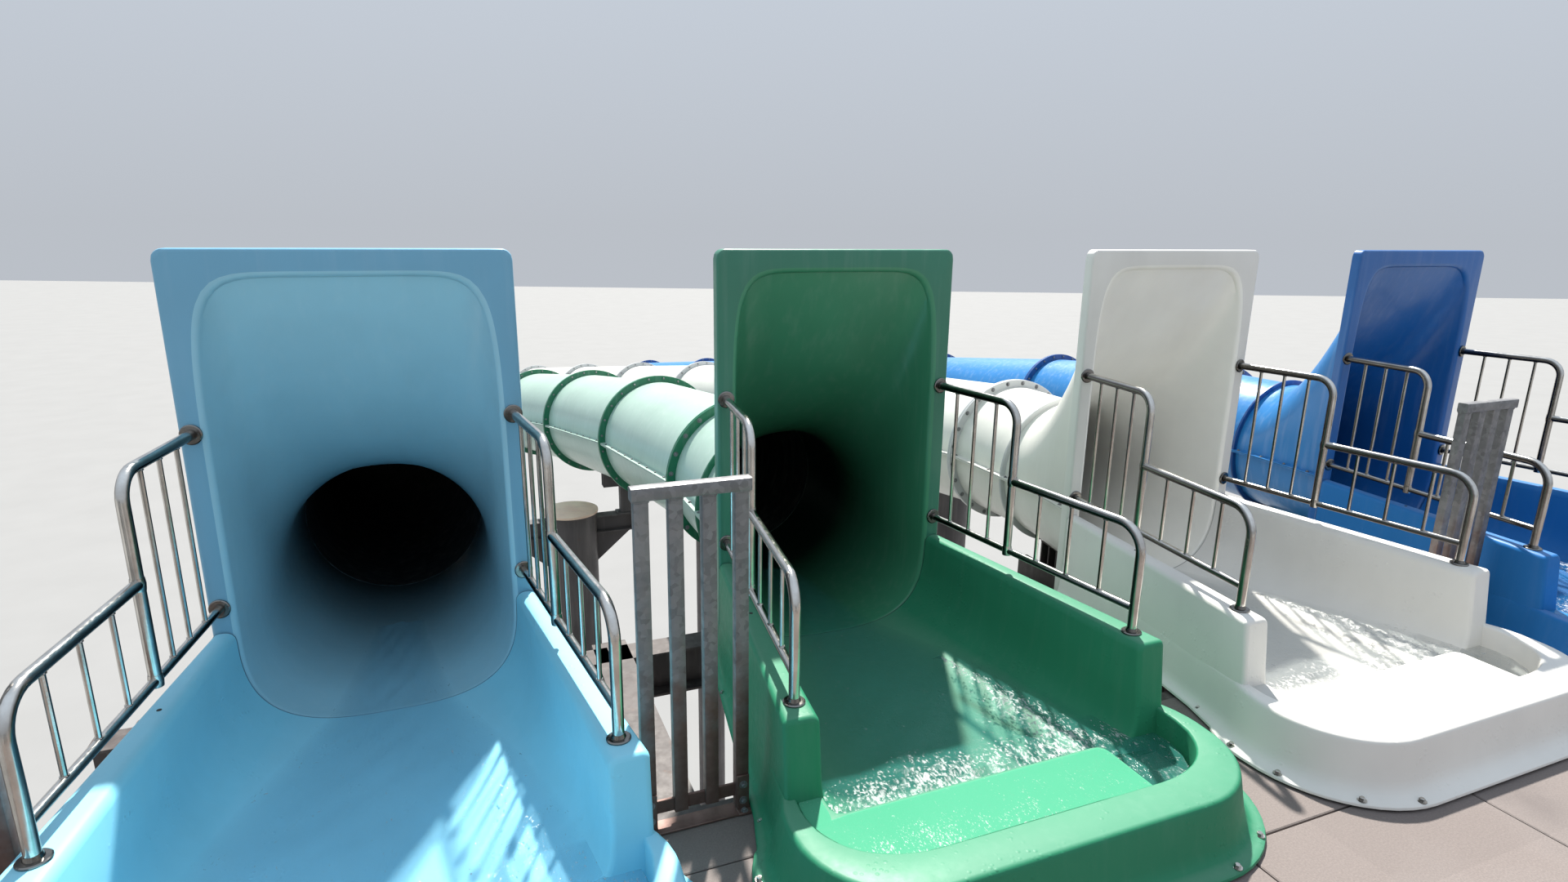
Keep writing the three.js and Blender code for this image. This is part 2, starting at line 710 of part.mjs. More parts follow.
START_X.forEach((x, i) => {
  const name = START_NAMES[i];
  addNode(`start_tub_${name}`, tub(x), gelcoat[i]);
  addNode(`funnel_${name}`, funnel(x), gelcoat[i]);
  [0, 2, 4].forEach((first, k) => addNode(`flume_${name}_${k + 1}`, flume(x, first), flumeGelcoat[i]));
  addNode(`rail_left_${name}`, startRail(x, -1), stainless);
  addNode(`rail_right_${name}`, startRail(x, 1), stainless);
});

[-2250, 2250].forEach((x, i) => addNode(`fence_panel_${i + 1}`, fencePanel(x, 212, 4), galvanised));
addNode('fence_end_left', fencePanel(-4612, 316, 6), galvanised);
addNode('fence_end_right', fencePanel(4612, 316, 6), galvanised);

addNode('guard_left', guard(DECK_BACK, DECK_FRONT, -DECK_HALF + 30, false), galvanised);
addNode('guard_right', guard(DECK_BACK, DECK_FRONT, DECK_HALF - 30, false), galvanised);
const rearY = DECK_BACK + 30;
const gapStart = -STAIR_HALF - LANDING_L;
addNode('guard_rear_short', guard(-DECK_HALF + 60, gapStart, rearY, true), galvanised);
addNode('guard_rear_long', guard(-STAIR_HALF, DECK_HALF - 60, rearY, true), galvanised);

[
  [0, 1],
  [2, 1],
  [0, 4],
  [2, 4],
].forEach(([first, along], i) => addNode(`pylon_${i + 1}`, pylon(first, along), greySteel));

addNode('stair_flight_1', flight(0, LANE_OUT, true), darkSteel);
addNode('stair_flight_2', flight(RISE, LANE_IN, false), darkSteel);
addNode('stair_flight_3', flight(2 * RISE, LANE_OUT, true), darkSteel);
addNode('stair_flight_4', flight(3 * RISE, LANE_IN, false), darkSteel);
addNode('stair_frame_right', stairFrame(1, [RISE, 3 * RISE]), darkSteel);
addNode('stair_frame_left', stairFrame(-1, [2 * RISE, 4 * RISE]), darkSteel);

export default group;
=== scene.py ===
"""Looks of the water slide tower: fibreglass slide starts, flumes, rails, deck, steel tower and stair."""
import math
import random

import bmesh
import bpy
import numpy as np
from mathutils import Matrix, Vector


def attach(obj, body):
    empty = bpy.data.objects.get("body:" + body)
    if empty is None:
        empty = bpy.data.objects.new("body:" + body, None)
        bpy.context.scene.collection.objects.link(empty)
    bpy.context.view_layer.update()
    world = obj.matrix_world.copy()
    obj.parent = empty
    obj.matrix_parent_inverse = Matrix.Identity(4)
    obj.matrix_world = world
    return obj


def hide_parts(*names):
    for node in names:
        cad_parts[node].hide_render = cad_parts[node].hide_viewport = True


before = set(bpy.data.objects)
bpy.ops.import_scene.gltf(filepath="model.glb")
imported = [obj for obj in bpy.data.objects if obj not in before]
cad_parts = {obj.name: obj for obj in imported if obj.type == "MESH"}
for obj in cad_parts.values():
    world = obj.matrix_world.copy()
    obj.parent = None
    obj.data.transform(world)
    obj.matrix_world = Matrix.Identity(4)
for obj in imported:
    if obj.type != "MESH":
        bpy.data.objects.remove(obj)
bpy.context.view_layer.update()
random.seed(7)

# Sizes from the CAD source, in metres and degrees, before the shift to the middle of the footprint
SHIFT = np.array([0.718, -2.96, 0.0])
X, Y, UP = np.eye(3)
NAMES = ["light_blue", "green", "white", "dark_blue"]
START_X = [-3.375, -1.125, 1.125, 3.375]
D = 12.0  # height of the deck
WALL_L, WALL_TOP, RIM_TOP, FLOOR_Z, SHELF_Z = 1.45, D + 0.55, D + 0.25, D + 0.05, D + 0.232
WALL_OUT, WALL_IN = (0.66, 0.885), (0.575, 0.74)  # half widths at the headwall and at the walls' ends
END_LEAN, END_R, WALL_POINTS, TUB_FRONT, STEP_Y = 0.117, 0.02, 9, -2.07, -1.9
BORE_R, SHELL, BORE_Z, HOOD_L, FUNNEL_L = 0.49, 0.018, D + 0.545, 0.8, 1.5
WIDER, TALLER, LOWER = 0.07, 1.0, 0.009  # how far a hood's opening goes beyond the round bore
HEAD_HALF, HEAD_TOP, HEAD_DEPTH, HEAD_SHEET, MOUTH_R = 0.66, D + 2.15, 0.06, 0.016, 0.025
RING_IN, RING_OUT, RING_BOLTS, RING_HALF, GAP = 0.5, 0.566, 0.54, 0.02, 0.0015  # ring flanges and their joint
EAR, EAR_TOP, EAR_BOLTS = 0.046, 0.009, 0.026  # side flanges: reach, upper face, line of bolts
BAY_L, HEADING, SLOPE = 2.0, [4, 8, 11, 14, 17, 20], [5, 7, 8, 8, 8, 8]  # of each bay: leftward and downward
COLUMN_X, ROW_Y, MIDDLE_Y = [-4.5, -2.25, 0.0, 2.25, 4.5], [-4.3, 0.6], -1.25
FRAME_TOP, LEVELS, RUST_TOP, PLATE = 11.52, [4.0, 8.0], D + 0.72, 0.006  # PLATE is half a plate's thickness
DECK_HALF, DECK_BACK, DECK_FRONT, DECK_DEEP, SLAB = 5.0, -4.7, -1.1, 0.18, (1.2, 0.6)
RISE, STEPS, GOING, STAIR_HALF, LANDING_L = 3.0, 18, 0.28, 2.38, 1.2
LANE_IN, LANE_OUT, POST, SHEET = (-5.98, -4.88), (-7.18, -6.08), 0.12, 0.006  # lanes of the stair in y
SUN_FROM, SUN_POWER, SKY_POWER = (0.31, 0.66, 1.0), 9.0, 0.8


def share(x):
    return min(1.0, max(0.0, x))


def between(ends, t):
    return ends[0] + (ends[1] - ends[0]) * t


def bend(steps, first=0):
    """1 - cos and 1 - sin of the angles of a quarter turn."""
    return [(1 - math.cos(a), 1 - math.sin(a)) for a in math.pi / 2 * np.arange(first, steps + 1) / steps]


def placed(name, data):
    obj = bpy.data.objects.new(name, data)
    bpy.context.scene.collection.objects.link(obj)
    return obj


# ---------- camera, fitted to the photo ----------
CAMERA_AT, LENS, YAW, PITCH, ROLL = (-2.299, -6.898, 14.253), 19.42, -0.3832, -0.2473, -0.0119
(cz, sz), (cx, sx), (cy, sy) = ((math.cos(a), math.sin(a)) for a in (YAW, PITCH, ROLL))
R = (np.array([[cz, -sz, 0], [sz, cz, 0], [0, 0, 1]]) @ np.array([[1, 0, 0], [0, cx, -sx], [0, sx, cx]])
     @ np.array([[cy, 0, sy], [0, 1, 0], [-sy, 0, cy]]))
camera = placed("camera", bpy.data.cameras.new("camera"))
basis = Matrix([[R[i, 0], R[i, 2], -R[i, 1]] for i in range(3)]).to_4x4()
camera.matrix_world = Matrix.Translation(CAMERA_AT) @ basis
camera.data.sensor_width = 36
camera.data.lens = LENS
camera.data.clip_start, camera.data.clip_end = 0.1, 200
bpy.context.scene.camera = camera
bpy.context.scene.view_settings.view_transform = "Standard"


# ---------- materials ----------
class Nodes:
    """Short names for building one material's node tree."""

    def __init__(self, name):
        self.mat = bpy.data.materials.new(name)
        self.mat.use_nodes = True
        self.tree = self.mat.node_tree
        self.out = self.tree.nodes["Principled BSDF"]
        self.coord = self.tree.nodes.new("ShaderNodeTexCoord").outputs["Object"]

    def put(self, socket, value):
        if isinstance(value, bpy.types.NodeSocket):
            self.tree.links.new(value, socket)
        elif isinstance(value, tuple):
            socket.default_value = (*value, 1) if socket.type == "RGBA" else value
        elif value is not None:
            socket.default_value = value

    def node(self, kind, inputs=None, **props):
        n = self.tree.nodes.new(kind)
        for k, v in props.items():
            setattr(n, k, v)
        for k, v in (inputs or {}).items():
            self.put(n.inputs[k], v)
        return n

    def stretch(self, x, y, z):
        return self.node("ShaderNodeMapping", {"Vector": self.coord, "Scale": (x, y, z)}).outputs[0]

    def noise(self, scale, detail=4, vector=None, rough=0.55):
        ins = {"Vector": vector or self.coord, "Scale": scale, "Detail": detail, "Roughness": rough}
        return self.node("ShaderNodeTexNoise", ins).outputs["Fac"]

    def cells(self, scale, what="Distance"):
        return self.node("ShaderNodeTexVoronoi", {"Vector": self.coord, "Scale": scale}).outputs[what]

    def mesh_value(self, word):
        return self.node("ShaderNodeAttribute", attribute_name=word).outputs["Fac"]

    def ramp(self, fac, stops):
        n = self.node("ShaderNodeValToRGB", {"Fac": fac})
        for e, (at, c) in zip(n.color_ramp.elements, stops):
            e.position = at
            e.color = (*c, 1) if isinstance(c, tuple) else (c, c, c, 1)
        return n.outputs[0]

    def patches(self, scale, detail, start, end, low=0.0, high=1.0, vector=None, rough=0.55):
        """Noise spread to values: low up to the noise's value start, and high from end on."""
        return self.ramp(self.noise(scale, detail, vector, rough), [(start, low), (end, high)])

    def mix(self, fac, a, b):
        n = self.node("ShaderNodeMix", data_type="RGBA")
        for socket, v in zip((n.inputs[0], n.inputs[6], n.inputs[7]), (fac, a, b)):
            self.put(socket, v)
        return n.outputs[2]

    def math(self, op, a, b=None, c=None, clamp=False):
        return self.node("ShaderNodeMath", {0: a, 1: b, 2: c}, operation=op, use_clamp=clamp).outputs[0]

    def past(self, value, start, length, clamp=False):
        """How far a value lies past start, counted in lengths."""
        return self.math("DIVIDE", self.math("SUBTRACT", value, start), length, clamp=clamp)

    def axis(self, which, vector=None):
        return self.node("ShaderNodeSeparateXYZ", {0: vector or self.coord}).outputs[which]

    def facing(self, which):
        """One component of the direction that the surface faces."""
        return self.axis(which, self.node("ShaderNodeNewGeometry").outputs["Normal"])

    def bump(self, height, strength, distance, below=None):
        ins = {"Height": height, "Strength": strength, "Distance": distance, "Normal": below}
        return self.node("ShaderNodeBump", ins).outputs[0]

    def done(self, colour, rough, normal=None, **plain):
        ins = {"Base_Color": colour, "Roughness": rough, "Normal": normal, **plain}
        for k, v in ins.items():
            self.put(self.out.inputs[k.replace("_", " ")], v)
        return self.mat


def shade(c, k):
    return tuple(min(1.0, v * k) for v in c)


def paler(c, k, white):
    return tuple(k * v + white for v in c)


# Streaks, least and most roughness, weight and roughness of the coat, specular level
DRY, WET = (0.12, 0.3, 0.4, 0.15, 0.12, 0.5), (0.05, 0.42, 0.52, 0.05, 0.3, 0.15)


def gelcoat(name, c, deep=None, shade_span=None, wet=False, faded=0.0):
    """Sprayed fibreglass surface: clear coat, faint cloudiness, water marks that run down, drops where wet, and a
    painted sheen on faces that point up where wet.

    Inside a tube the colour darkens as painted shade, down to the share deep of its colour, over the span given as a
    start and a length.
    """
    n = Nodes(name)
    streaks, low, high, coat, coat_rough, level = WET if wet else DRY
    col = n.mix(n.patches(1.1, 4, 0.3, 0.7), shade(c, 0.9), shade(c, 1.05))
    runs = n.patches(3, 4, 0.5, 0.85, 0.0, streaks + 0.3 * faded, n.stretch(7, 7, 0.55))
    col = n.mix(runs, col, paler(c, 0.55, 0.4))
    grime = n.patches(2.2, 4, 0.5, 0.9, 0.0, 0.25, n.stretch(1, 1, 0.5), 0.6)
    col = n.mix(grime, col, shade(c, 0.62))
    # Painted sheen: where wet, faces that point up are mixed toward a paler colour, standing in for the broad sun
    # highlight on wet tops.
    if wet:
        col = n.mix(n.ramp(n.facing(2), [(0.8, 0.0), (0.97, 0.12)]), col, paler(c, 0.5, 0.42))
    # Painted shade: the colour darkens with distance down the tube.
    if deep:
        col = n.mix(n.past(n.axis(1), SHIFT[1] + shade_span[0], shade_span[1], True), col, shade(c, deep))
    normal = n.bump(n.noise(5, 2), 0.1, 0.01)
    if wet:
        drops = n.math("MULTIPLY", n.ramp(n.cells(38), [(0.0, 1.0), (0.32, 0.0)]), n.patches(5, 3, 0.5, 0.62))
        normal = n.bump(drops, 0.5, 0.004, normal)
    return n.done(col, n.patches(30, 4, 0.3, 0.7, low, high), normal,
                  Coat_Weight=coat, Coat_Roughness=coat_rough, Specular_IOR_Level=level)


def stainless(name, k=1.0):
    """Drawn stainless steel with painted reflections: bright on top, painted dark where it faces down or to the
    side, standing in for a dark surround under an open sky.
    """
    n = Nodes(name)
    lines = n.noise(50, 3, n.stretch(1, 1, 12))
    col = n.mix(n.patches(12, 5, 0.35, 0.75), shade((0.7, 0.68, 0.64), k), shade((0.46, 0.44, 0.41), k))
    # Painted shade and reflection: undersides, and faces turned to the sides, are mixed toward near black.
    dark = (0.05, 0.044, 0.04)
    col = n.mix(n.ramp(n.math("MULTIPLY_ADD", n.facing(2), 0.5, 0.5), [(0.3, 1.0), (0.52, 0.0)]), col, dark)
    col = n.mix(n.ramp(n.math("ABSOLUTE", n.facing(0)), [(0.62, 0.0), (0.92, 0.85)]), col, dark)
    rough = n.ramp(lines, [(0.3, 0.12), (0.75, 0.26)])
    return n.done(col, rough, n.bump(lines, 0.05, 0.001), Metallic=1.0)


def zinc(name, z_rust=None):
    """Hot-dip galvanised steel: spangle, dull spots, and rust-brown stain below the height z_rust."""
    n = Nodes(name)
    col = n.ramp(n.cells(45, "Color"), [(0.0, (0.15, 0.15, 0.155)), (1.0, (0.26, 0.26, 0.265))])
    col = n.mix(n.patches(4, 6, 0.45, 0.75, 0.0, 0.5), col, (0.34, 0.33, 0.32))
    if z_rust is not None:
        below = n.past(z_rust, n.axis(2), 0.35)
        spots = n.math("MULTIPLY", n.math("SUBTRACT", n.noise(9, 6), 0.5), 2.2)
        brown = n.mix(n.noise(30, 4), (0.1, 0.055, 0.048), (0.21, 0.135, 0.11))
        col = n.mix(n.math("ADD", below, spots, clamp=True), col, brown)
    return n.done(col, n.patches(22, 4, 0.3, 0.7, 0.38, 0.6), n.bump(n.noise(90, 3), 0.12, 0.002), Metallic=0.55)


def painted(name, c, rust=0.25, rough=0.45):
    """Paint or sealant: uneven tone, specks of rust, dust that runs down; rough is the least roughness."""
    n = Nodes(name)
    col = n.mix(n.patches(2.5, 6, 0.35, 0.7), shade(c, 0.8), shade(c, 1.25))
    col = n.mix(n.patches(7, 8, 0.6, 0.68, 0.0, rust, None, 0.75), col, (0.16, 0.06, 0.025))
    col = n.mix(n.patches(3, 5, 0.5, 0.85, 0.0, 0.25, n.stretch(5, 5, 0.5)), col, (0.35, 0.32, 0.29))
    return n.done(col, n.patches(20, 4, 0.3, 0.7, rough, rough + 0.2), n.bump(n.noise(55, 4), 0.1, 0.002),
                  Metallic=0.1)


def stone(name, c):
    """Pale washed stone: fields of the slabs' size in slightly different tints, grit, stains, damp patches."""
    n = Nodes(name)
    cell = n.node("ShaderNodeCombineXYZ")
    for i, (size, shift) in enumerate(zip(SLAB, (3.122, 3.0))):
        n.put(cell.inputs[i], n.math("FLOOR", n.past(n.axis(i), shift, size)))
    own = n.node("ShaderNodeTexWhiteNoise", {"Vector": cell.outputs[0]}).outputs["Value"]
    col = n.mix(own, shade(c, 0.88), shade(c, 1.08))
    col = n.mix(n.patches(140, 3, 0.35, 0.65, 0.45, 0.0), col, shade(c, 0.62))
    col = n.mix(n.ramp(n.cells(90), [(0.0, 0.35), (0.2, 0.0)]), col, (0.36, 0.3, 0.26))
    col = n.mix(n.patches(1.1, 6, 0.5, 0.66, 0.0, 0.5), col, shade(c, 0.6))
    return n.done(col, n.patches(1.1, 6, 0.45, 0.66, 0.85, 0.45), n.bump(n.noise(120, 4), 0.35, 0.003))


def water(name, tint, clear=0.35, foam_from=0.615, grain=58, ripple=1.0):
    """Moving water: clear tint and ripples; foam where the mesh's froth value and noise are high."""
    n = Nodes(name)
    run = n.stretch(1.5, 0.7, 1)
    level = n.math("ADD", n.math("MULTIPLY", n.noise(8, 3, run), 0.28),
                   n.math("MULTIPLY", n.mesh_value("froth"), 0.155))
    level = n.math("ADD", level, n.math("MULTIPLY", n.noise(grain, 3, run, 0.6), 0.72))
    mask = n.ramp(level, [(foam_from, 0.0), (foam_from + 0.1, 0.9)])
    bubbles = n.ramp(n.cells(150), [(0.0, 1.0), (0.6, 0.45)])
    col = n.mix(mask, tint, n.mix(bubbles, paler(tint, 0.4, 0.22), (0.52, 0.51, 0.49)))
    waves = n.bump(n.noise(7, 4, run, 0.6), 0.7 * ripple, 0.025)
    normal = n.bump(n.noise(46, 4, run, 0.65), 0.5 * ripple, 0.006, waves)
    open_water = n.math("MULTIPLY", n.math("SUBTRACT", 1.0, n.mesh_value("shore")), clear)
    alpha = n.math("MAXIMUM", open_water, n.math("MULTIPLY", mask, 0.97))
    return n.done(col, n.ramp(mask, [(0.0, 0.1), (1.0, 0.6)]), normal, Alpha=alpha, IOR=1.33)


def each(make, name, *lists, **same):
    """One material for each slide start; the lists hold what differs from start to start."""
    return [make(name.format(n), *row, **same) for n, *row in zip(NAMES, *lists)]


# Colours by start: light blue, green, white, dark blue
TUB = [(0.25, 0.65, 0.82), (0.03, 0.225, 0.118), (0.78, 0.76, 0.71), (0.016, 0.16, 0.44)]
HEAD = [(0.17, 0.41, 0.57), (0.036, 0.2, 0.125), (0.76, 0.74, 0.69), (0.012, 0.12, 0.38)]
# The throat's colours are painted lighter than the headwall's: painted light for sunlight that shines through the
# shell.
THROAT_LIT = [(0.32, 0.6, 0.72), (0.055, 0.27, 0.145), (0.96, 0.93, 0.85), (0.01, 0.13, 0.4)]
# Painted shade inside the tubes: the share of colour left deep in the bore, and from where and over what length the
# throat darkens to it.
BORE_SHADE, SHADE_SPAN = [0.05, 0.05, 0.25, 0.05], [(0.22, 1.3), (0.0, 1.0), (0.35, 1.4), (0.35, 1.4)]
HOOD = [(0.26, 0.46, 0.54), (0.4, 0.54, 0.46), (0.7, 0.7, 0.64), (0.02, 0.2, 0.5)]
BAND = [(0.1, 0.34, 0.46), (0.005, 0.15, 0.07), (0.55, 0.56, 0.56), (0.004, 0.07, 0.26)]
WATER = [(0.24, 0.54, 0.7), (0.05, 0.25, 0.21), (0.36, 0.39, 0.38), (0.01, 0.15, 0.36)]
FILM = [(0.12, 0.42, 0.5), (0.078, 0.36, 0.21), (0.6, 0.6, 0.57), (0.02, 0.22, 0.5)]
tub_mat = each(gelcoat, "gelcoat_{}_wet", TUB, wet=True)
head_mat = each(gelcoat, "gelcoat_{}", HEAD)
seam_mat = each(painted, "sealant_{}", [shade(c, 0.55) for c in HEAD], rust=0.0, rough=0.6)
hood_mat = each(gelcoat, "gelcoat_{}_hood", HOOD, faded=0.6)
throat_mat = each(gelcoat, "gelcoat_{}_throat", THROAT_LIT, BORE_SHADE, SHADE_SPAN)
# The bores are painted near black as painted shade: the headwall's colour times 0.8 and the share left deep in the
# tube.
bore_shade_mat = each(painted, "gelcoat_{}_bore", [shade(c, 0.8 * k) for c, k in zip(HEAD, BORE_SHADE)], rust=0.0, rough=0.75)
band_mat = each(gelcoat, "gelcoat_{}_ring", BAND, faded=0.3)
water_mat = each(water, "water_{}", WATER)
film_mat = each(water, "film_{}", FILM, clear=0.85, foam_from=0.63, grain=130, ripple=0.25)
steel_bright = stainless("stainless_polished")
# A darker copy of the stainless for the flanges: painted shade for flanges that face into the shade.
steel_flange_shaded = stainless("stainless_flange", 0.35)
zinc_clean = zinc("zinc_plain")
zinc_rusty = zinc("zinc_rusty", RUST_TOP)
dark_paint = painted("paint_dark_brown", (0.055, 0.043, 0.04))
grey_paint = painted("paint_grey_brown", (0.085, 0.075, 0.075))
# The cap's beige is painted very bright: painted light for sunlight that the flume above keeps off it.
cap_paint_sunlit = painted("paint_beige", (1.0, 0.68, 0.52), 0.1, 0.5)
tread_paint = painted("paint_tread", (0.13, 0.12, 0.115), 0.35, 0.5)
slab_stone = stone("paving_pale", (0.195, 0.164, 0.151))
concrete = painted("concrete_grey", (0.34, 0.33, 0.31), 0.05, 0.75)
sealant = painted("sealant_dark", (0.02, 0.02, 0.02), 0.0, 0.6)


# ---------- mesh building ----------
def frame_of(p, q):
    """Side, along and up directions of a straight member."""
    y = np.array(q, float) - np.array(p, float)
    y = y / np.linalg.norm(y)
    x = np.cross(y, Y if abs(y @ UP) > 0.999 else UP)
    x /= np.linalg.norm(x)
    return x, y, np.cross(x, y)


def circle(side, up, sides, first=0.0):
    """Directions evenly round a circle, the first one at an angle in degrees."""
    k = math.radians(first) + np.arange(sides) * 2 * math.pi / sides
    return np.outer(np.cos(k), side) + np.outer(np.sin(k), up)


def inset(ring, d):
    """A closed plan outline moved inwards by d (outwards where d is negative)."""
    ring = np.array(ring, float)
    area = np.sum(ring[:, 0] * np.roll(ring[:, 1], -1) - np.roll(ring[:, 0], -1) * ring[:, 1])
    e = np.roll(ring, -1, 0) - ring
    e /= np.maximum(np.linalg.norm(e, axis=1), 1e-9)[:, None]
    nrm = np.stack([-e[:, 1], e[:, 0]], 1) * np.sign(area)
    m = nrm + np.roll(nrm, 1, 0)
    m /= np.maximum(np.sum(m * m, axis=1) / 2, 0.35)[:, None]
    return ring + m * d


def smooth_path(points, steps):
    """Catmull-Rom points along an open line."""
    p = np.array(points, float)
    p = np.vstack([2 * p[0] - p[1], p, 2 * p[-1] - p[-2]])
    out = []
    for a, b, c, d in zip(p, p[1:], p[2:], p[3:]):
        for t in np.arange(steps) / steps:
            out.append(0.5 * (2 * b + (c - a) * t + (2 * a - 5 * b + 4 * c - d) * t * t
                              + (3 * b - a - 3 * c + d) * t ** 3))
    return np.array(out + [p[-2]])


def travelled(path):
    """Distance along an open line at each of its points."""
    return np.concatenate([[0], np.cumsum(np.linalg.norm(np.diff(path, axis=0), axis=1))])


def along(path, t):
    """Points at shares t of an open line's length."""
    path = np.array(path, float)
    s = travelled(path)
    return np.stack([np.interp(np.array(t) * s[-1], s, path[:, i]) for i in range(path.shape[1])], 1)


def i_section(w, h, tf, tw):
    a, b, c = w / 2, h / 2, tw / 2
    half = [(a, -b), (a, -b + tf), (c, -b + tf), (c, b - tf), (a, b - tf), (a, b)]
    return half + [(-x, z) for x, z in reversed(half)]


def channel(w, h, t):
    """Open to the side of +x."""
    a, b = w / 2, h / 2
    return [(-a, -b), (a, -b), (a, -b + t), (-a + t, -b + t), (-a + t, b - t), (a, b - t), (a, b), (-a, b)]


def angle_section(a, t):
    return [(-a / 2, -a / 2), (a / 2, -a / 2), (a / 2, -a / 2 + t), (-a / 2 + t, -a / 2 + t),
            (-a / 2 + t, a / 2), (-a / 2, a / 2)]


def rounded(half_w, low, top, r_low, r_top, steps):
    """A rectangle with rounded corners that reaches low below and top above its origin."""
    out = []
    for sx, sz, first in ((1, -1, -90), (1, 1, 0), (-1, 1, 90), (-1, -1, 180)):
        b, r = (top, r_top) if sz > 0 else (low, r_low)
        for k in range(steps + 1):
            a = math.radians(first + 90 * k / steps)
            out.append((sx * (half_w - r) + r * math.cos(a), sz * (b - r) + r * math.sin(a)))
    return out


def tube_section(w, h, r):
    return rounded(w / 2, h / 2, h / 2, r, r, 2)


COLUMN, BRACE = i_section(0.2, 0.2, 0.015, 0.009), tube_section(0.06, 0.09, 0.01)
TOP_RAIL, PICKET = tube_section(0.052, 0.05, 0.006), tube_section(0.014, 0.014, 0.003)


class Piece:
    """One object being built: points, faces and the material of each face, mat where none is named."""

    def __init__(self, name, mat):
        self.name, self.mat, self.v, self.f, self.m, self.mats = name, mat, [], [], [], []
        self.count = 0

    def add(self, verts, faces, mat=None):
        mat = mat or self.mat
        if mat not in self.mats:
            self.mats.append(mat)
        verts = np.array(verts, float).reshape(-1, 3)
        self.v.append(verts)
        self.f += [[i + self.count for i in f] for f in faces]
        self.m += [self.mats.index(mat)] * len(faces)
        self.count += len(verts)

    def skin(self, rings, mat=None, looped=False, caps=True, closed=True):
        """Rings of equal point counts joined into one surface."""
        n, r = len(rings[0]), len(rings)
        faces = []
        for i in range(r if looped else r - 1):
            a, b = i * n, ((i + 1) % r) * n
            faces += [[a + j, b + j, b + (j + 1) % n, a + (j + 1) % n] for j in range(n if closed else n - 1)]
        if caps and not looped:
            faces += [list(range(n)), [(r - 1) * n + j for j in reversed(range(n))]]
        self.add(np.concatenate([np.array(x, float) for x in rings]), faces, mat)

    def block(self, centre, axes, h, mat=None, c=0.0):
        """A box with chamfered edges, at any angle; h is half its size."""
        s = [(-1, -1), (1, -1), (1, 1), (-1, 1)]
        c = min(c, 0.45 * min(h))
        if c <= 0:
            pts = [(a * h[0], b * h[1], k * h[2]) for k in (-1, 1) for a, b in s]
            quads = [[0, 3, 2, 1], [4, 5, 6, 7]] + [[i, (i + 1) % 4, 4 + (i + 1) % 4, 4 + i] for i in range(4)]
        else:
            pts = []
            for k, g in ((-1, c), (-1, 0), (1, 0), (1, c)):
                z = k * (h[2] - (0 if g else c))
                for a, b in s:
                    x, y = a * (h[0] - g), b * (h[1] - g)
                    first, second = (x - a * c, y, z), (x, y - b * c, z)
                    pts += [second, first] if a * b > 0 else [first, second]
            quads = [[i * 8 + j, i * 8 + (j + 1) % 8, i * 8 + 8 + (j + 1) % 8, i * 8 + 8 + j]
                     for i in range(3) for j in range(8)] + [list(reversed(range(8))), list(range(24, 32))]
        self.add(np.array(pts) @ np.array(axes) + centre, quads, mat)

    def box(self, x0, x1, y0, y1, z0, z1, c=0.0, mat=None):
        """A box between limits, which may come in either order; c is its chamfer."""
        low, high = np.array([x0, y0, z0]), np.array([x1, y1, z1])
        self.block((low + high) / 2, np.eye(3), abs(high - low) / 2, mat, c)

    def pad(self, x, y, half_x, half_y, z0, z1, c=0.0, mat=None):
        """A box round a point in plan."""
        self.box(x - half_x, x + half_x, y - half_y, y + half_y, z0, z1, c, mat)

    def member(self, p, q, section, mat=None):
        x, _, z = frame_of(p, q)
        self.skin([[np.array(e, float) + x * u + z * w for u, w in section] for e in (p, q)], mat)

    def along_x(self, x0, x1, y, z, section, mat=None):
        self.member((x0, y, z), (x1, y, z), section, mat)

    def along_y(self, x, y0, y1, z, section, mat=None):
        self.member((x, y0, z), (x, y1, z), section, mat)

    def post(self, x, y, z0, z1, section, mat=None):
        self.member((x, y, z0), (x, y, z1), section, mat)

    def plate(self, outline, y, half, mat=None):
        """An outline in x, z as a plate from y - half to y + half."""
        self.skin([[(x, y + s * half, z) for x, z in outline] for s in (-1, 1)], mat)

    def tube(self, points, r, sides, mat=None):
        """Round tube along points, its section carried along without twist."""
        p = [np.array(a, float) for a in points]
        t = [(p[min(i + 1, len(p) - 1)] - p[max(i - 1, 0)]) for i in range(len(p))]
        t = [a / np.linalg.norm(a) for a in t]
        side = np.cross(t[0], UP) if abs(t[0][2]) < 0.95 else X
        rings = []
        for a, d in zip(p, t):
            side = side - d * (side @ d)
            side /= np.linalg.norm(side)
            rings.append(a + r * circle(side, np.cross(d, side), sides))
        self.skin(rings, mat)

    def turned(self, base, axis, profile, mat=None, sides=16):
        """A turned form: profile is (distance along the axis, radius)."""
        x, y, z = frame_of(base, np.array(base, float) + axis)
        self.skin([base + y * d + r * circle(x, z, sides) for d, r in profile], mat)

    def bolt(self, base, r, axis=UP, mat=zinc_clean, washer=True):
        if washer:
            self.turned(base, axis, [(0, r * 1.7), (0.0025, r * 1.7)], mat, 10)
        self.turned(base, axis, [(0, r), (r * 1.1, r), (r * 1.3, r * 0.8)], mat, 6)

    def plan(self, outline, z0, z1, r=0.0):
        """An outline in plan raised from z0 to z1, with its upper edge rounded by r."""
        rings = [[(x, y, z0) for x, y in outline], [(x, y, z1 - r) for x, y in outline]]
        for c, s in bend(3, 1) if r else ():
            rings.append([(x, y, z1 - r * s) for x, y in inset(outline, r * c)])
        self.skin(rings)

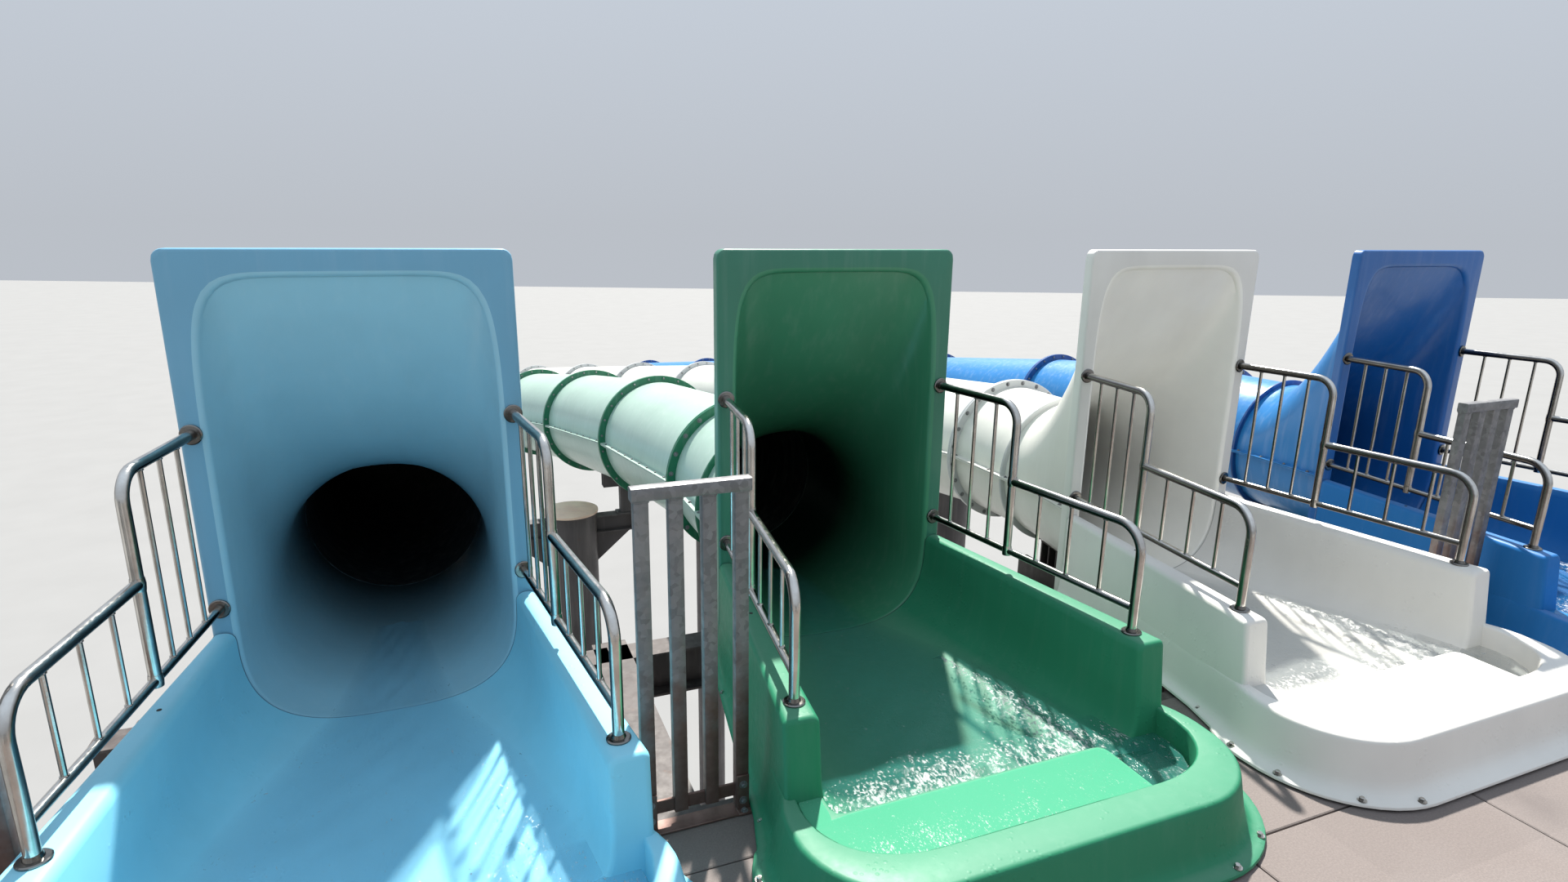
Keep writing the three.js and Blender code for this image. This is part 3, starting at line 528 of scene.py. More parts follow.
    def made(self, replaces):
        mesh = bpy.data.meshes.new(self.name)
        mesh.from_pydata((np.concatenate(self.v) + SHIFT).tolist(), [], self.f)
        for m in self.mats:
            mesh.materials.append(m)
        mesh.polygons.foreach_set("material_index", self.m)
        bm = bmesh.new()
        bm.from_mesh(mesh)
        bmesh.ops.recalc_face_normals(bm, faces=bm.faces)
        bm.to_mesh(mesh)
        bm.free()
        mesh.polygons.foreach_set("use_smooth", [True] * len(mesh.polygons))
        mesh.set_sharp_from_angle(angle=math.radians(32))
        obj = placed(self.name, mesh)
        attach(obj, "root")
        if replaces:
            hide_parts(*replaces)
        return obj


# ---------- slide starts ----------
def trough_half(y):
    """Half width of the trough and the power of its round U."""
    t = share(-y / WALL_L)
    return between(WALL_IN, t), 3 + 3.5 * t


def wall_out(y):
    return between(WALL_OUT, share(-y / WALL_L))


def tub_section(y):
    """Closed section of walls and trough in x, z: outer faces, rounded tops, round U inside."""
    half, n = trough_half(y)
    out, ro, ri = wall_out(y), 0.026, 0.04
    right = [(out, D + 0.02), (out, WALL_TOP - ro)]
    right += [(out - ro * c, WALL_TOP - ro * s) for c, s in bend(3, 1)]
    right += [(half + ri * s, WALL_TOP - ri * c) for c, s in bend(4)]
    for k in range(2, 25):
        a = math.radians(3.75 * k)
        x = half * math.cos(a) ** (2 / n) if k < 24 else 0.0
        z = WALL_TOP - (WALL_TOP - FLOOR_Z) * math.sin(a) ** (2 / n)
        if z < WALL_TOP - ri - 0.004:
            right.append((x, z))
    return right + [(-x, z) for x, z in reversed(right[:-1])]


def half_outline():
    """Right half of the basin's outer edge in plan, from the headwall round to the middle of the front."""
    pts = [(between(WALL_OUT, t), -WALL_L * t) for t in np.linspace(0, 1, WALL_POINTS)]
    pts += [(0.903, -1.488), (0.922, -1.54), (0.933, -1.6), (0.936, -1.645)]
    for k in range(1, 13):
        a = math.radians(-7.5 * k)
        pts.append((0.555 + 0.38 * math.cos(a), TUB_FRONT + 0.38 * (1 + math.sin(a))))
    return np.array(pts + [(x, TUB_FRONT) for x in (0.37, 0.185, 0.0)])


def half_inner():
    """Right half of the rim's inner edge."""
    pts = [(0.83, -1.43), (0.845, -1.5), (0.852, -1.59), (0.838, -1.68), (0.78, -1.78), (0.69, -1.85),
           (0.57, -1.89), (0.455, -1.9)]
    return np.vstack([smooth_path(pts, 4), [(0.2, STEP_Y), (0.0, STEP_Y)]])


def tub(i):
    x0 = START_X[i]
    p = Piece(f"tub_{NAMES[i]}", tub_mat[i])

    def mirrored(lines):
        """Lines of the right half, then their mirror image back to the headwall."""
        right, left = ([[(x0 + s * x, y, z) for x, y, z in line] for line in lines] for s in (1, -1))
        return right + left[::-1][1:]

    # walls and trough, with rounded ends
    rings = []
    for t in (0, 0.1, 0.25, 0.4, 0.55, 0.7, 0.85, 0.93, 1.0):
        lean = END_LEAN * max(0.0, (t - 0.85) / 0.15)
        rings.append([(x0 + x, -WALL_L * t - lean * (WALL_TOP - z), z) for x, z in tub_section(-WALL_L * t)])
    for c, s in bend(4, 1):
        edge = inset(tub_section(-WALL_L), END_R * c)
        rings.append([(x0 + x, -WALL_L - END_R * (1 - s) - END_LEAN * (WALL_TOP - z), z) for x, z in edge])
    p.skin(rings, caps=False)
    # end faces of the walls, from the inner line straight out to the outer one
    side, mid = edge[:5], edge[5:len(edge) // 2 + 1]
    faces = []
    for x, z in mid:
        if z > D + 0.1:
            faces.append((np.interp(z, side[:, 1], side[:, 0]), z))
            low = x
        else:
            faces.append((side[0, 0] * x / low, side[0, 1]))
    for s in (1, -1):
        p.skin([[(x0 + s * x, -WALL_L - END_R - END_LEAN * (WALL_TOP - z), z) for x, z in line]
                for line in (mid, faces)], closed=False, caps=False)
    # rim, skirt and foot flange
    outer, inner = half_outline(), half_inner()
    s = travelled(outer[WALL_POINTS - 1:])
    pairs = np.vstack([outer[:WALL_POINTS - 1] - [0.035, 0], along(inner, s / s[-1])])
    e = np.gradient(outer, axis=0)
    nrm = np.stack([-e[:, 1], e[:, 0]], 1)
    nrm /= np.linalg.norm(nrm, axis=1)[:, None]
    nrm *= np.sign(nrm[:, :1] + 1e-9)
    nrm[-1] = nrm[-2] = (0, -1)
    grown = np.interp(-outer[:, 1], [0, 1.3, 1.6], [0.5, 0.6, 1.0])[:, None] * nrm
    foot = [(0.2, 0.006), (0.14, 0.017), (0.085, 0.028), (0.06, 0.037), (0.044, 0.05), (0.034, 0.068),
            (0.029, 0.085), (0.026, 0.098), (0.021, 0.107), (0.014, 0.11), (0.011, 0.11)]
    lines, ro, ri = [], 0.022, 0.012
    for o, q, m, g in zip(outer, pairs, nrm, grown):
        d = (o - q) / np.linalg.norm(o - q)
        lines.append([(*q, FLOOR_Z - 0.01)] + [(*(q + d * ri * c), RIM_TOP - ri * s) for c, s in bend(3)]
                     + [(*(o - m * ro * c), RIM_TOP - ro * s) for c, s in bend(3)[::-1]]
                     + [(*(o + g * out), D + z) for z, out in foot])
    p.skin(mirrored(lines), closed=False, caps=False)
    # dark strip in the gap under the flange: a recessed dark gasket, whose near-black colour is also painted shade
    # for the shadow in the gap
    gap = [(0.011, 0.11), (0.011, 0.085), (0.0, 0.085), (0.0, 0.02)]
    p.skin(mirrored([[(*(o + g * out), D + z) for z, out in gap] for o, g in zip(outer, grown)]),
           sealant, closed=False, caps=False)
    # shelf that the bathers step on, and the floor of the pocket beside it
    left = [(-x, y) for x, y in inner]
    shelf = [*left, (0.2, STEP_Y), (0.455, -1.905), (0.455, -1.67), (0.449, -1.635), (0.43, -1.616),
             (0.395, -1.61), (-0.7, -1.61), (-0.728, -1.6), (-0.74, -1.575), (-0.74, -1.43)]
    p.plan([(x0 + a, b) for a, b in shelf], D + 0.03, SHELF_Z, 0.01)
    p.plan([(x0 + a, b) for a, b in inset([*inner, *left[::-1][1:]], -0.01)], D + 0.012, FLOOR_Z)
    # sealant line where the tub meets the headwall
    p.tube([(x0 + x, -0.004, z) for x, z in tub_section(0)[1:-1]], 0.0022, 6, seam_mat[i])
    # foot bolts
    for s in (1, -1):
        for k in (11, 14, 19, 23):
            x, y = outer[k] + grown[k] * 0.086
            p.bolt((x0 + s * x, y, D + 0.028), 0.011, mat=steel_bright)
        for y in -WALL_L * np.array((0.25, 0.6, 0.9)):
            p.bolt((x0 + s * (wall_out(y) + 0.047), y, D + 0.027), 0.008, mat=steel_bright)
    # small dark plug in the top of the left wall
    p.turned((x0 - 0.7, -0.604, WALL_TOP - 0.001), UP, [(0, 0.009), (0.0025, 0.008), (0.003, 0.005)], sealant)
    p.made([f"start_tub_{NAMES[i]}"])


# ---------- headwall, hood and flume ----------
# Angles round a section: even ones, and finer ones at the corners of the hood's opening and of the headwall
ANGLES = sorted({*np.arange(0, 360, 4.5)}.union(
    (a for k in np.arange(-9, 13, 1.5) for a in (66 + k, 114 - k)),
    (a for k in (-1.4, -1.0, -0.6, -0.2, 0.2, 0.6, 1.0) for a in (67.64 + k, 180 - 67.64 - k)),
    (a for k in (-1.0, -0.3, 0.3, 1.0) for a in (320.45 + k, 219.55 - k))))
THETA = np.radians(np.array(ANGLES))


def polar(r):
    return np.stack([r * np.cos(THETA), r * np.sin(THETA)], 1)


def hood_ring(y, extra):
    """Section of the hood and funnel at a distance behind the headwall, at the shared angles."""
    t = share((y - MOUTH_R) / (HOOD_L - MOUTH_R))
    k = (1 - t) ** 2
    a, up, down = (BORE_R + more * k + extra for more in (WIDER, TALLER, LOWER))
    n_up, n_down = 2 + 6 * (1 - t) ** 1.5, 2 + 1.1 * (1 - t)
    c, s = np.abs(np.cos(THETA)), np.sin(THETA)
    b, n = np.where(s >= 0, up, down), np.where(s >= 0, n_up, n_down)
    return polar(((c / a) ** n + (np.abs(s) / b) ** n) ** (-1 / n))


def hood_half(y):
    """Half width of the hood at the height of the bore's axis."""
    return BORE_R + WIDER * (1 - min(1, y / HOOD_L)) ** 2


def head_outline(back):
    """Headwall outline with rounded corners, less a set-back all round, at the shared angles."""
    pts = np.array(rounded(HEAD_HALF - back, BORE_Z - D - back, HEAD_TOP - BORE_Z - back, 0.012, 0.045, 6))
    fine = np.vstack([along([a, b], np.linspace(0, 1, 40)) for a, b in zip(pts, np.roll(pts, -1, 0))])
    angle = np.mod(np.arctan2(fine[:, 1], fine[:, 0]), 2 * math.pi)
    o = np.argsort(angle)
    return polar(np.interp(THETA, angle[o], np.linalg.norm(fine, axis=1)[o], period=2 * math.pi))


def flume_joints(x):
    """Point, direction, side and up at each bay end."""
    dirs = [np.array([-math.sin(h) * math.cos(s), math.cos(h) * math.cos(s), -math.sin(s)])
            for h, s in zip(np.radians(HEADING), np.radians(SLOPE))]
    p = np.array([x, FUNNEL_L, BORE_Z])
    joints = [(p, Y, X, UP)]
    for d, after in zip(dirs, [*dirs[1:], dirs[-1]]):
        p = p + d * BAY_L
        both = (d + after) / np.linalg.norm(d + after)
        side = np.cross(both, UP)
        side /= np.linalg.norm(side)
        joints.append((p, both, side, np.cross(side, both)))
    return joints


def ring_band(p, centre, d, side, up, mat, start=-RING_HALF, end=RING_HALF, out=RING_OUT):
    """Bolted ring flange round the flume, with a thin dark joint line in its middle."""
    c, inner = 0.003, out - 0.006
    profile = [(start, RING_IN), (start, out - c), (start + c, out), (end - c, out), (end, out - c), (end, RING_IN)]
    if start < 0 < end:
        profile[3:3] = [(-GAP, out), (-GAP, inner), (GAP, inner), (GAP, out)]
    p.skin([centre + d * a + circle(side, up, 64) * r for a, r in profile], mat, looped=True)


def ear(p, stations):
    """Flat side flange of two half shells with a dark joint, from stations of (root point, outward, up)."""
    for z0, z1, out, mat in ((GAP, EAR_TOP, EAR, None), (-EAR_TOP, -GAP, EAR, None),
                             (-GAP, GAP, EAR - 0.003, sealant)):
        corners = ((-0.01, z0), (out, z0), (out, z1), (-0.01, z1))
        p.skin([[root + o * a + u * z for a, z in corners] for root, o, u in stations], mat)


def head_and_hood(i):
    x0 = START_X[i]
    p = Piece(f"headwall_{NAMES[i]}", head_mat[i])

    def ring(y, pts):
        return [(x0 + u, y, BORE_Z + w) for u, w in pts]

    # front face, rounded outer edge, return lip, inside of the lip and back of the face
    edge = 0.014
    front = [ring(0.0, hood_ring(0, MOUTH_R)), ring(0.0, head_outline(edge))]
    front += [ring(edge * c, head_outline(edge * s)) for c, s in bend(3, 1)]
    front += [ring(y, head_outline(back)) for y, back in ((HEAD_DEPTH, 0), (HEAD_DEPTH, 0.016), (HEAD_SHEET, 0.018))]
    p.skin([*front, ring(HEAD_SHEET, hood_ring(HEAD_SHEET, SHELL))], caps=False)
    # rounded mouth and the throat behind it
    mouth = [ring(MOUTH_R * c, hood_ring(0, MOUTH_R * s)) for c, s in bend(4)]
    ys = [0.06, 0.1, 0.15, 0.2, 0.26, 0.32, 0.39, 0.46, 0.54, 0.62, 0.7, 0.8, 1.0, 1.25, 1.5]
    mouth += [ring(y, hood_ring(y, 0)) for y in [0.04, *ys]]
    # The throat's material is painted lighter near the mouth and painted shade further in.
    p.skin(mouth, throat_mat[i], caps=False)
    # stiffening ribs on the back
    for u in (-0.615, 0.615):
        p.box(x0 + u - 0.008, x0 + u + 0.008, 0.014, 0.056, D + 0.01, HEAD_TOP - 0.02, 0.003)
    p.box(x0 - 0.64, x0 + 0.64, 0.014, 0.056, D + 2.067, D + 2.083, 0.003)
    p.made([])

    h = Piece(f"hood_{NAMES[i]}", hood_mat[i])
    h.skin([ring(y, hood_ring(y, SHELL)) for y in [HEAD_SHEET, *ys]], caps=False)
    for s in (1, -1):
        ear(h, [(np.array([x0 + s * (hood_half(y) + SHELL), y, BORE_Z]), s * X, UP) for y in [0.02, *ys[:-1], 1.48]])
        for y in np.arange(0.18, 1.45, 0.21):
            h.bolt((x0 + s * (hood_half(y) + SHELL + EAR_BOLTS), y, BORE_Z + EAR_TOP), 0.008)
    # the end's ring, and a stiffening band where the hood has become round
    for y, start, end, out in ((FUNNEL_L, -RING_HALF, -GAP, RING_OUT), (0.86, -0.009, 0.009, 0.545)):
        ring_band(h, np.array([x0, y, BORE_Z]), Y, X, UP, band_mat[i], start, end, out)
    for out in circle(X, UP, 24, 7.5):
        h.bolt(np.array([x0, FUNNEL_L - RING_HALF, BORE_Z]) + RING_BOLTS * out, 0.01, -Y)
    h.made([f"funnel_{NAMES[i]}"])


def flume(i):
    p = Piece(f"flume_{NAMES[i]}", hood_mat[i])
    joints = flume_joints(START_X[i])
    last = len(joints) - 1

    def shell(j, r):
        """Circle at a bay's end; the first one keeps a gap to the funnel."""
        c, d, side, up = joints[j]
        return c + d * (0 if j else GAP) + r * circle(side, up, 64)

    # Inner skin in the bore colour: painted shade inside the tube.
    p.skin([shell(j, BORE_R) for j in range(last + 1)], bore_shade_mat[i], caps=False)
    p.skin([shell(last, BORE_R), *[shell(j, BORE_R + SHELL) for j in range(last, -1, -1)], shell(0, BORE_R)],
           caps=False)
    for j, (c, d, side, up) in enumerate(joints):
        ring_band(p, c, d, side, up, band_mat[i], -RING_HALF if j else GAP, 0.0 if j == last else RING_HALF)
        bolted = [-1] * (j > 0) + [1] * (j < last)  # faces of the ring that carry bolts
        for out in circle(side, up, 24, 7.5):
            for s in bolted:
                p.bolt(c + out * RING_BOLTS + s * d * RING_HALF, 0.01, s * d, washer=False)
    for bay in zip(joints, joints[1:]):
        for s in (1, -1):
            roots = [[a * (1 - t) + b * t for a, b in zip(*bay)] for t in (0.012, 0.25, 0.5, 0.75, 0.988)]
            ear(p, [(c + s * side * (BORE_R + SHELL), s * side, up) for c, _, side, up in roots])
            for t in np.arange(0.08, 0.95, 0.105):
                c, _, side, up = (a * (1 - t) + b * t for a, b in zip(*bay))
                p.bolt(c + s * side * (BORE_R + SHELL + EAR_BOLTS) + up * EAR_TOP, 0.008, up, washer=False)
    p.made([f"flume_{NAMES[i]}_{k}" for k in (1, 2, 3)])


# ---------- stainless rails ----------
def rail(i, side):
    x0 = START_X[i]
    word = "left" if side < 0 else "right"
    p = Piece(f"handrail_{word}_{NAMES[i]}", steel_bright)
    lean = 0.195 / WALL_L

    def at(s, z):
        """Point over the wall, s forward of the headwall and z above the wall's top."""
        return np.array([x0 + side * (0.6175 + lean * s), -s, WALL_TOP + z])

    def bent(points, r):
        """A line with round bends at its inner corners."""
        points = [np.array(q, float) for q in points]
        pts = [points[0]]
        for a, b, after in zip(points, points[1:], points[2:]):
            u, v = ((q - b) / np.linalg.norm(q - b) for q in (a, after))
            pts += [b + u * r * s + v * r * c for c, s in bend(8)]
        return [at(*q) for q in [*pts, points[-1]]]

    up_top, low_top, foot, up_end, low_end, r = 0.87, 0.48, 0.112, 0.59, 1.36, 0.021
    p.tube(bent([(0.0, up_top), (up_end, up_top), (up_end, foot)], 0.1), r, 20)
    p.tube(bent([(up_end, low_top), (low_end, low_top), (low_end, 0.004)], 0.12), r, 20)
    p.tube([at(0.0, foot), at(low_end, foot)], 0.017, 16)
    # flanges at the headwall and on the wall, in the darker stainless that paints them shaded
    for z in (up_top, foot):
        p.turned(at(0.0, z), (side * lean, -1, 0),
                 [(0, 0.042), (0.006, 0.042), (0.009, 0.038), (0.01, 0.024), (0.02, 0.0235)], steel_flange_shaded, 24)
    p.turned(at(low_end, 0.0), UP, [(0, 0.043), (0.005, 0.043), (0.008, 0.039), (0.009, 0.026), (0.022, 0.0225)],
             steel_flange_shaded, 24)
    # balusters with weld beads at both ends, and sleeves where the two loops meet
    for start, end, top in ((0, up_end, up_top), (up_end, low_end, low_top)):
        for s in (start + (end - start) * k / 4 for k in (1, 2, 3)):
            p.tube([at(s, foot), at(s, top)], 0.0095, 10)
            for z in (foot + 0.0165, top - 0.0205):
                p.turned(at(s, z - 0.002), UP, [(0, 0.0125), (0.002, 0.0135), (0.004, 0.0125)], sides=10)
    for z in (foot, low_top):
        p.turned(at(up_end, z - 0.024), UP, [(0, 0.0225), (0.024, 0.0245), (0.048, 0.0225)], sides=18)
    p.made([f"rail_{word}_{NAMES[i]}"])


# ---------- fences and guards ----------
def fence(name, x, half, uprights):
    p = Piece(f"{name}_flats", zinc_rusty)
    y, top = DECK_FRONT - 0.06, D + 1.38
    p.along_x(x - half - 0.008, x + half + 0.008, y - 0.004, top - 0.025, TOP_RAIL, zinc_clean)
    p.box(x - half, x + half, y - 0.006, y + 0.006, D + 0.06, D + 0.115, 0.002)
    p.box(x - half, x + half, y - 0.056, y + 0.022, D, D + 0.01, 0.002)
    for k in range(uprights):
        cx = x - half + 0.027 + k * (2 * half - 0.054) / (uprights - 1)
        p.post(cx, y, D if k in (0, uprights - 1) else D + 0.06, top - 0.046, tube_section(0.054, 0.04, 0.004))
        p.pad(cx, y, 0.029, 0.022, top - 0.058, top - 0.049, 0.003, zinc_clean)
    # base plates and bolted angles at the outer uprights
    for s in (-1, 1):
        cx = x + s * (half - 0.027)
        p.box(cx - 0.027, cx + 0.027, y - 0.06, y + 0.024, D, D + 0.012, 0.002)
        p.box(cx - 0.025, cx + 0.025, y - 0.03, y - 0.02, D, D + 0.16, 0.002)
        for z in (0.05, 0.12):
            p.bolt((cx, y - 0.03, D + z), 0.01, -Y)
        p.bolt((cx, y - 0.045, D + 0.012), 0.009)
    p.made([name])


def guard(name, start, end, fixed, along_x):
    """Railing of flats along x or y, from start to end; fixed is its place on the other axis."""
    p = Piece(f"{name}_flats", zinc_rusty)

    def at(a, b=fixed):
        return (a, b) if along_x else (b, a)

    def box(a, half, thick, z0, z1, c=0.002):
        p.pad(*at(a), *at(half, thick / 2), z0, z1, c)

    z0, z1 = D + 0.09, D + 1.13
    p.member((*at(start), z1 - 0.025), (*at(end), z1 - 0.025), TOP_RAIL, zinc_clean)
    box((start + end) / 2, (end - start) / 2, 0.012, z0, z0 + 0.05)
    bays = round((end - start) / 1.2)
    posts = [start + 0.027 + k * (end - start - 0.054) / bays for k in range(bays + 1)]
    for a in posts:
        box(a, 0.027, 0.03, D, z1 - 0.05, 0.003)
        box(a, 0.07, 0.058, D, D + 0.01)
        for s in (-0.05, 0.05):
            p.bolt((*at(a + s), D + 0.01), 0.01)
    for a, b in zip(posts, posts[1:]):
        n = round((b - a) / 0.118)
        for k in range(1, n):
            box(a + (b - a) * k / n, 0.014, 0.008, z0 + 0.05, z1 - 0.05, 0.0)
    p.made([name])


# ---------- deck ----------
def deck():
    p = Piece("deck_paving", slab_stone)
    under, zc = D - DECK_DEEP, D - DECK_DEEP / 2
    x, back, front = DECK_HALF - 0.012, DECK_BACK + 0.012, DECK_FRONT - 0.012
    p.box(-x, x, back, front, under + 0.06, D - 0.035, mat=concrete)
    xs = [-x] + [a for a in np.arange(-6, 6, SLAB[0]) + 0.804 if -4.9 < a < 4.9] + [x]
    ys = [back] + [a for a in np.arange(-6, 0, SLAB[1]) + 0.36 if -4.6 < a < -1.2] + [front]
    joint = 0.004
    for a, b in zip(xs, xs[1:]):
        for c, d in zip(ys, ys[1:]):
            low = random.uniform(0, 0.0015)
            p.box(a + joint, b - joint, c + joint, d - joint, D - 0.036, D - low, 0.004)
    # ribbed steel sheet under the slab
    zig = []
    for k in range(50):
        a = -DECK_HALF + 0.02 + k * 0.1992
        zig += [(a, 0.06), (a + 0.04, 0.06), (a + 0.06, 0.0), (a + 0.14, 0.0), (a + 0.16, 0.06)]
    for off in (0.001, 0.003):
        p.skin([[(a, y, under + z + off) for a, z in zig] for y in (DECK_BACK + 0.02, DECK_FRONT - 0.02)],
               zinc_clean, closed=False, caps=False)
    # edge channels all round, their open sides outward
    section = [(-u, w) for u, w in channel(0.06, DECK_DEEP, 0.008)][::-1]
    x, front, back = DECK_HALF - 0.03, DECK_FRONT - 0.006, DECK_BACK + 0.006
    p.along_x(-DECK_HALF, DECK_HALF, DECK_FRONT - 0.03, zc, section, dark_paint)
    p.along_x(DECK_HALF, -DECK_HALF, DECK_BACK + 0.03, zc, section, dark_paint)
    p.along_y(x, front, back, zc, section, dark_paint)
    p.along_y(-x, back, front, zc, section, dark_paint)
    p.made(["deck_slab"])


# ---------- steel tower ----------
def gusset(p, x, z, dx, dz, y, a, half=PLATE):
    """Corner plate in the plane of a row: a right triangle with cut tips."""
    p.plate([(x + dx * u, z + dz * w) for u, w in ((0, 0), (a, 0), (a, a / 4), (a / 4, a), (0, a))], y, half)


def row_frame(name, y):
    """Five columns with base plates, head plates, beams at each level and two braced bays."""
    p = Piece(f"{name}_steel", dark_paint)
    for x in COLUMN_X:
        p.post(x, y, 0.03, FRAME_TOP - 0.016, COLUMN)
        p.pad(x, y, 0.12, 0.12, FRAME_TOP - 0.016, FRAME_TOP, 0.002)
        p.pad(x, y, 0.225, 0.225, 0, 0.03, 0.003)
        for sx in (-1, 1):
            for sy in (-1, 1):
                foot = (x + sx * 0.175, y + sy * 0.175, 0.03)
                p.bolt(foot, 0.022)
                p.turned(foot, UP, [(0, 0.012), (0.07, 0.012)], zinc_clean, 8)
            gusset(p, x + sx * 0.1, 0.03, sx, 1, y, 0.12, 0.005)
            for z in (*LEVELS, FRAME_TOP):
                p.pad(x + sx * 0.112, y, PLATE, 0.075, z - 0.24, min(z + 0.04, FRAME_TOP), 0.001)
    bays = list(zip(COLUMN_X, COLUMN_X[1:]))
    beam = i_section(0.14, 0.2, 0.011, 0.007)
    for z in LEVELS:
        for a, b in bays:
            p.along_x(a + 0.105, b - 0.105, y, z - 0.1, beam)
    lows, highs = [0.3, *(z - 0.1 for z in LEVELS)], [*(z - 0.1 for z in LEVELS), FRAME_TOP - 0.15]
    for a, b in (bays[0], bays[3]):
        for low, high in zip(lows, highs):
            p.member((a, y, low), (b, y, high), BRACE)
            p.member((b, y, low), (a, y, high), BRACE)
            middle = (low + high) / 2
            p.pad((a + b) / 2, y, 0.16, 0.036, middle - 0.2, middle + 0.2, 0.002)
            for x, dx in ((a + 0.1, 1), (b - 0.1, -1)):
                gusset(p, x, low, dx, 1, y, 0.3)
                gusset(p, x, high - 0.1, dx, -1, y, 0.3)
    p.made([name])


def ties(name, z):
    """Beams between the two rows at a level, with end plates, plan bracing and bracing up the two ends."""
    p = Piece(f"{name}_steel", dark_paint)
    y0, y1 = ROW_Y
    beam = i_section(0.12, 0.2, 0.01, 0.006)
    for x in COLUMN_X:
        p.along_y(x, y0 + 0.102, y1 - 0.102, z - 0.1, beam)
        for y, s in ((y0 + 0.108, 1), (y1 - 0.108, -1)):
            p.pad(x, y, 0.08, PLATE, z - 0.22, z + 0.02, 0.001)
            for dx in (-0.045, 0.045):
                for dz in (-0.16, -0.04):
                    p.bolt((x + dx, y + s * PLATE, z + dz), 0.012, s * Y, washer=False)
    for k, (a, b) in enumerate(zip(COLUMN_X, COLUMN_X[1:])):
        ya, yb = (y1 - 0.14, y0 + 0.14) if k % 2 else (y0 + 0.14, y1 - 0.14)
        p.member((a + 0.05, ya, z - 0.1), (b - 0.05, yb, z - 0.1), angle_section(0.08, 0.008))
        for x, y in ((a + 0.13, ya), (b - 0.13, yb)):
            p.pad(x, y, 0.08, 0.1, z - 0.148, z - 0.138, 0.001)
    spans = [(0.26, z - 0.12), (z - 0.08, LEVELS[1] - 0.29)] if z == LEVELS[0] else [(z - 0.08, FRAME_TOP - 0.09)]
    for x in (COLUMN_X[0], COLUMN_X[4]):
        for low, high in spans:
            p.member((x, y0 + 0.1, low), (x, y1 - 0.1, high), BRACE)
            for y, end in ((y0 + 0.27, low), (y1 - 0.27, high)):
                p.pad(x, y, PLATE, 0.17, end - 0.14, end + 0.16, 0.001)
    p.made([name])


def deck_frame():
    p = Piece("deck_frame_steel", dark_paint)
    z0, z1 = FRAME_TOP, D - DECK_DEEP
    big, cross, joist = (i_section(*s) for s in ((0.2, 0.3, 0.016, 0.01), (0.18, 0.28, 0.014, 0.009),
                                                 (0.07, 0.12, 0.007, 0.005)))
    for x in COLUMN_X:
        ends = (ROW_Y[0] - 0.2, ROW_Y[1] + 0.15)
        p.along_y(x, *ends, z0 + 0.15, big)
        for y in ends:
            p.pad(x, y, 0.1, 0.005, z0, z1, 0.002)
        for y in (*ROW_Y, MIDDLE_Y):
            for s in (-1, 1):
                p.pad(x + s * 0.052, y, 0.047, PLATE, z0 + 0.014, z1 - 0.014)
    edge = [COLUMN_X[0] - 0.25, *COLUMN_X, COLUMN_X[4] + 0.25]
    for y in (ROW_Y[0], MIDDLE_Y, ROW_Y[1]):
        for a, b in zip(edge, edge[1:]):
            low, high = a + (0 if a == edge[0] else 0.02), b - (0 if b == edge[-1] else 0.02)
            p.along_x(low, high, y, z0 + 0.16, cross)
            for x in (low + 0.09, high - 0.09):
                p.pad(x, y, 0.005, 0.085, z0 + 0.03, z1 - 0.01)
    # joists under the slab and the channels that carry the tubs forward of it
    for x in np.arange(-4.2, 4.3, 0.6):
        if min(abs(x - c) for c in COLUMN_X) > 0.2:
            p.along_y(x, ROW_Y[0] + 0.09, MIDDLE_Y - 0.09, z1 - 0.06, joist)
    for x0 in START_X:
        z = z1 + 0.088
        for x in (x0 - 0.42, x0 + 0.42):
            p.along_y(x, DECK_FRONT - 0.03, ROW_Y[1] + 0.09, z, channel(0.07, 0.176, 0.008))
        for y in (-0.55, -0.06):
            p.along_x(x0 - 0.385, x0 + 0.385, y, z, channel(0.06, 0.14, 0.007))
        saddle(p, x0, z1)
    p.made(["deck_frame"])


def saddle(p, x0, z):
    """Saddle under the funnel, cut to its section at each plate."""
    half, row = 0.27, ROW_Y[1]

    def under(y):
        ring = hood_ring(y, SHELL + 0.007)
        low = ring[(ring[:, 1] < 0) & (abs(ring[:, 0]) < 0.45)]
        low = low[np.argsort(low[:, 0])]
        across = np.linspace(half, -half, 21)
        return list(zip(x0 + across, BORE_Z + np.interp(across, low[:, 0], low[:, 1])))

    for y in (row - 0.08, row, row + 0.08):
        p.plate([(x0 - half, z - 0.02), (x0 + half, z - 0.02), *under(y - PLATE)], y, PLATE)
    p.skin([[(x, y, h) for x, h in under(y)] + [(x, y, h - 0.01) for x, h in under(y)[::-1]]
            for y in (row - 0.09, row + 0.09)])
    p.pad(x0, row, half, 0.09, z, z + 0.012, 0.002)


# ---------- pylons ----------
def cradle(cx, cz, x, half, z0):
    """Outline of a saddle block in x, z: flat below, an arc on top that takes the round shell."""
    r, pts = BORE_R + SHELL + 0.009, [(x - half, z0), (x + half, z0)]
    for u in np.linspace(x + half, x - half, 21):
        pts.append((u, cz - math.sqrt(r * r - (u - cx) ** 2)))
    return pts


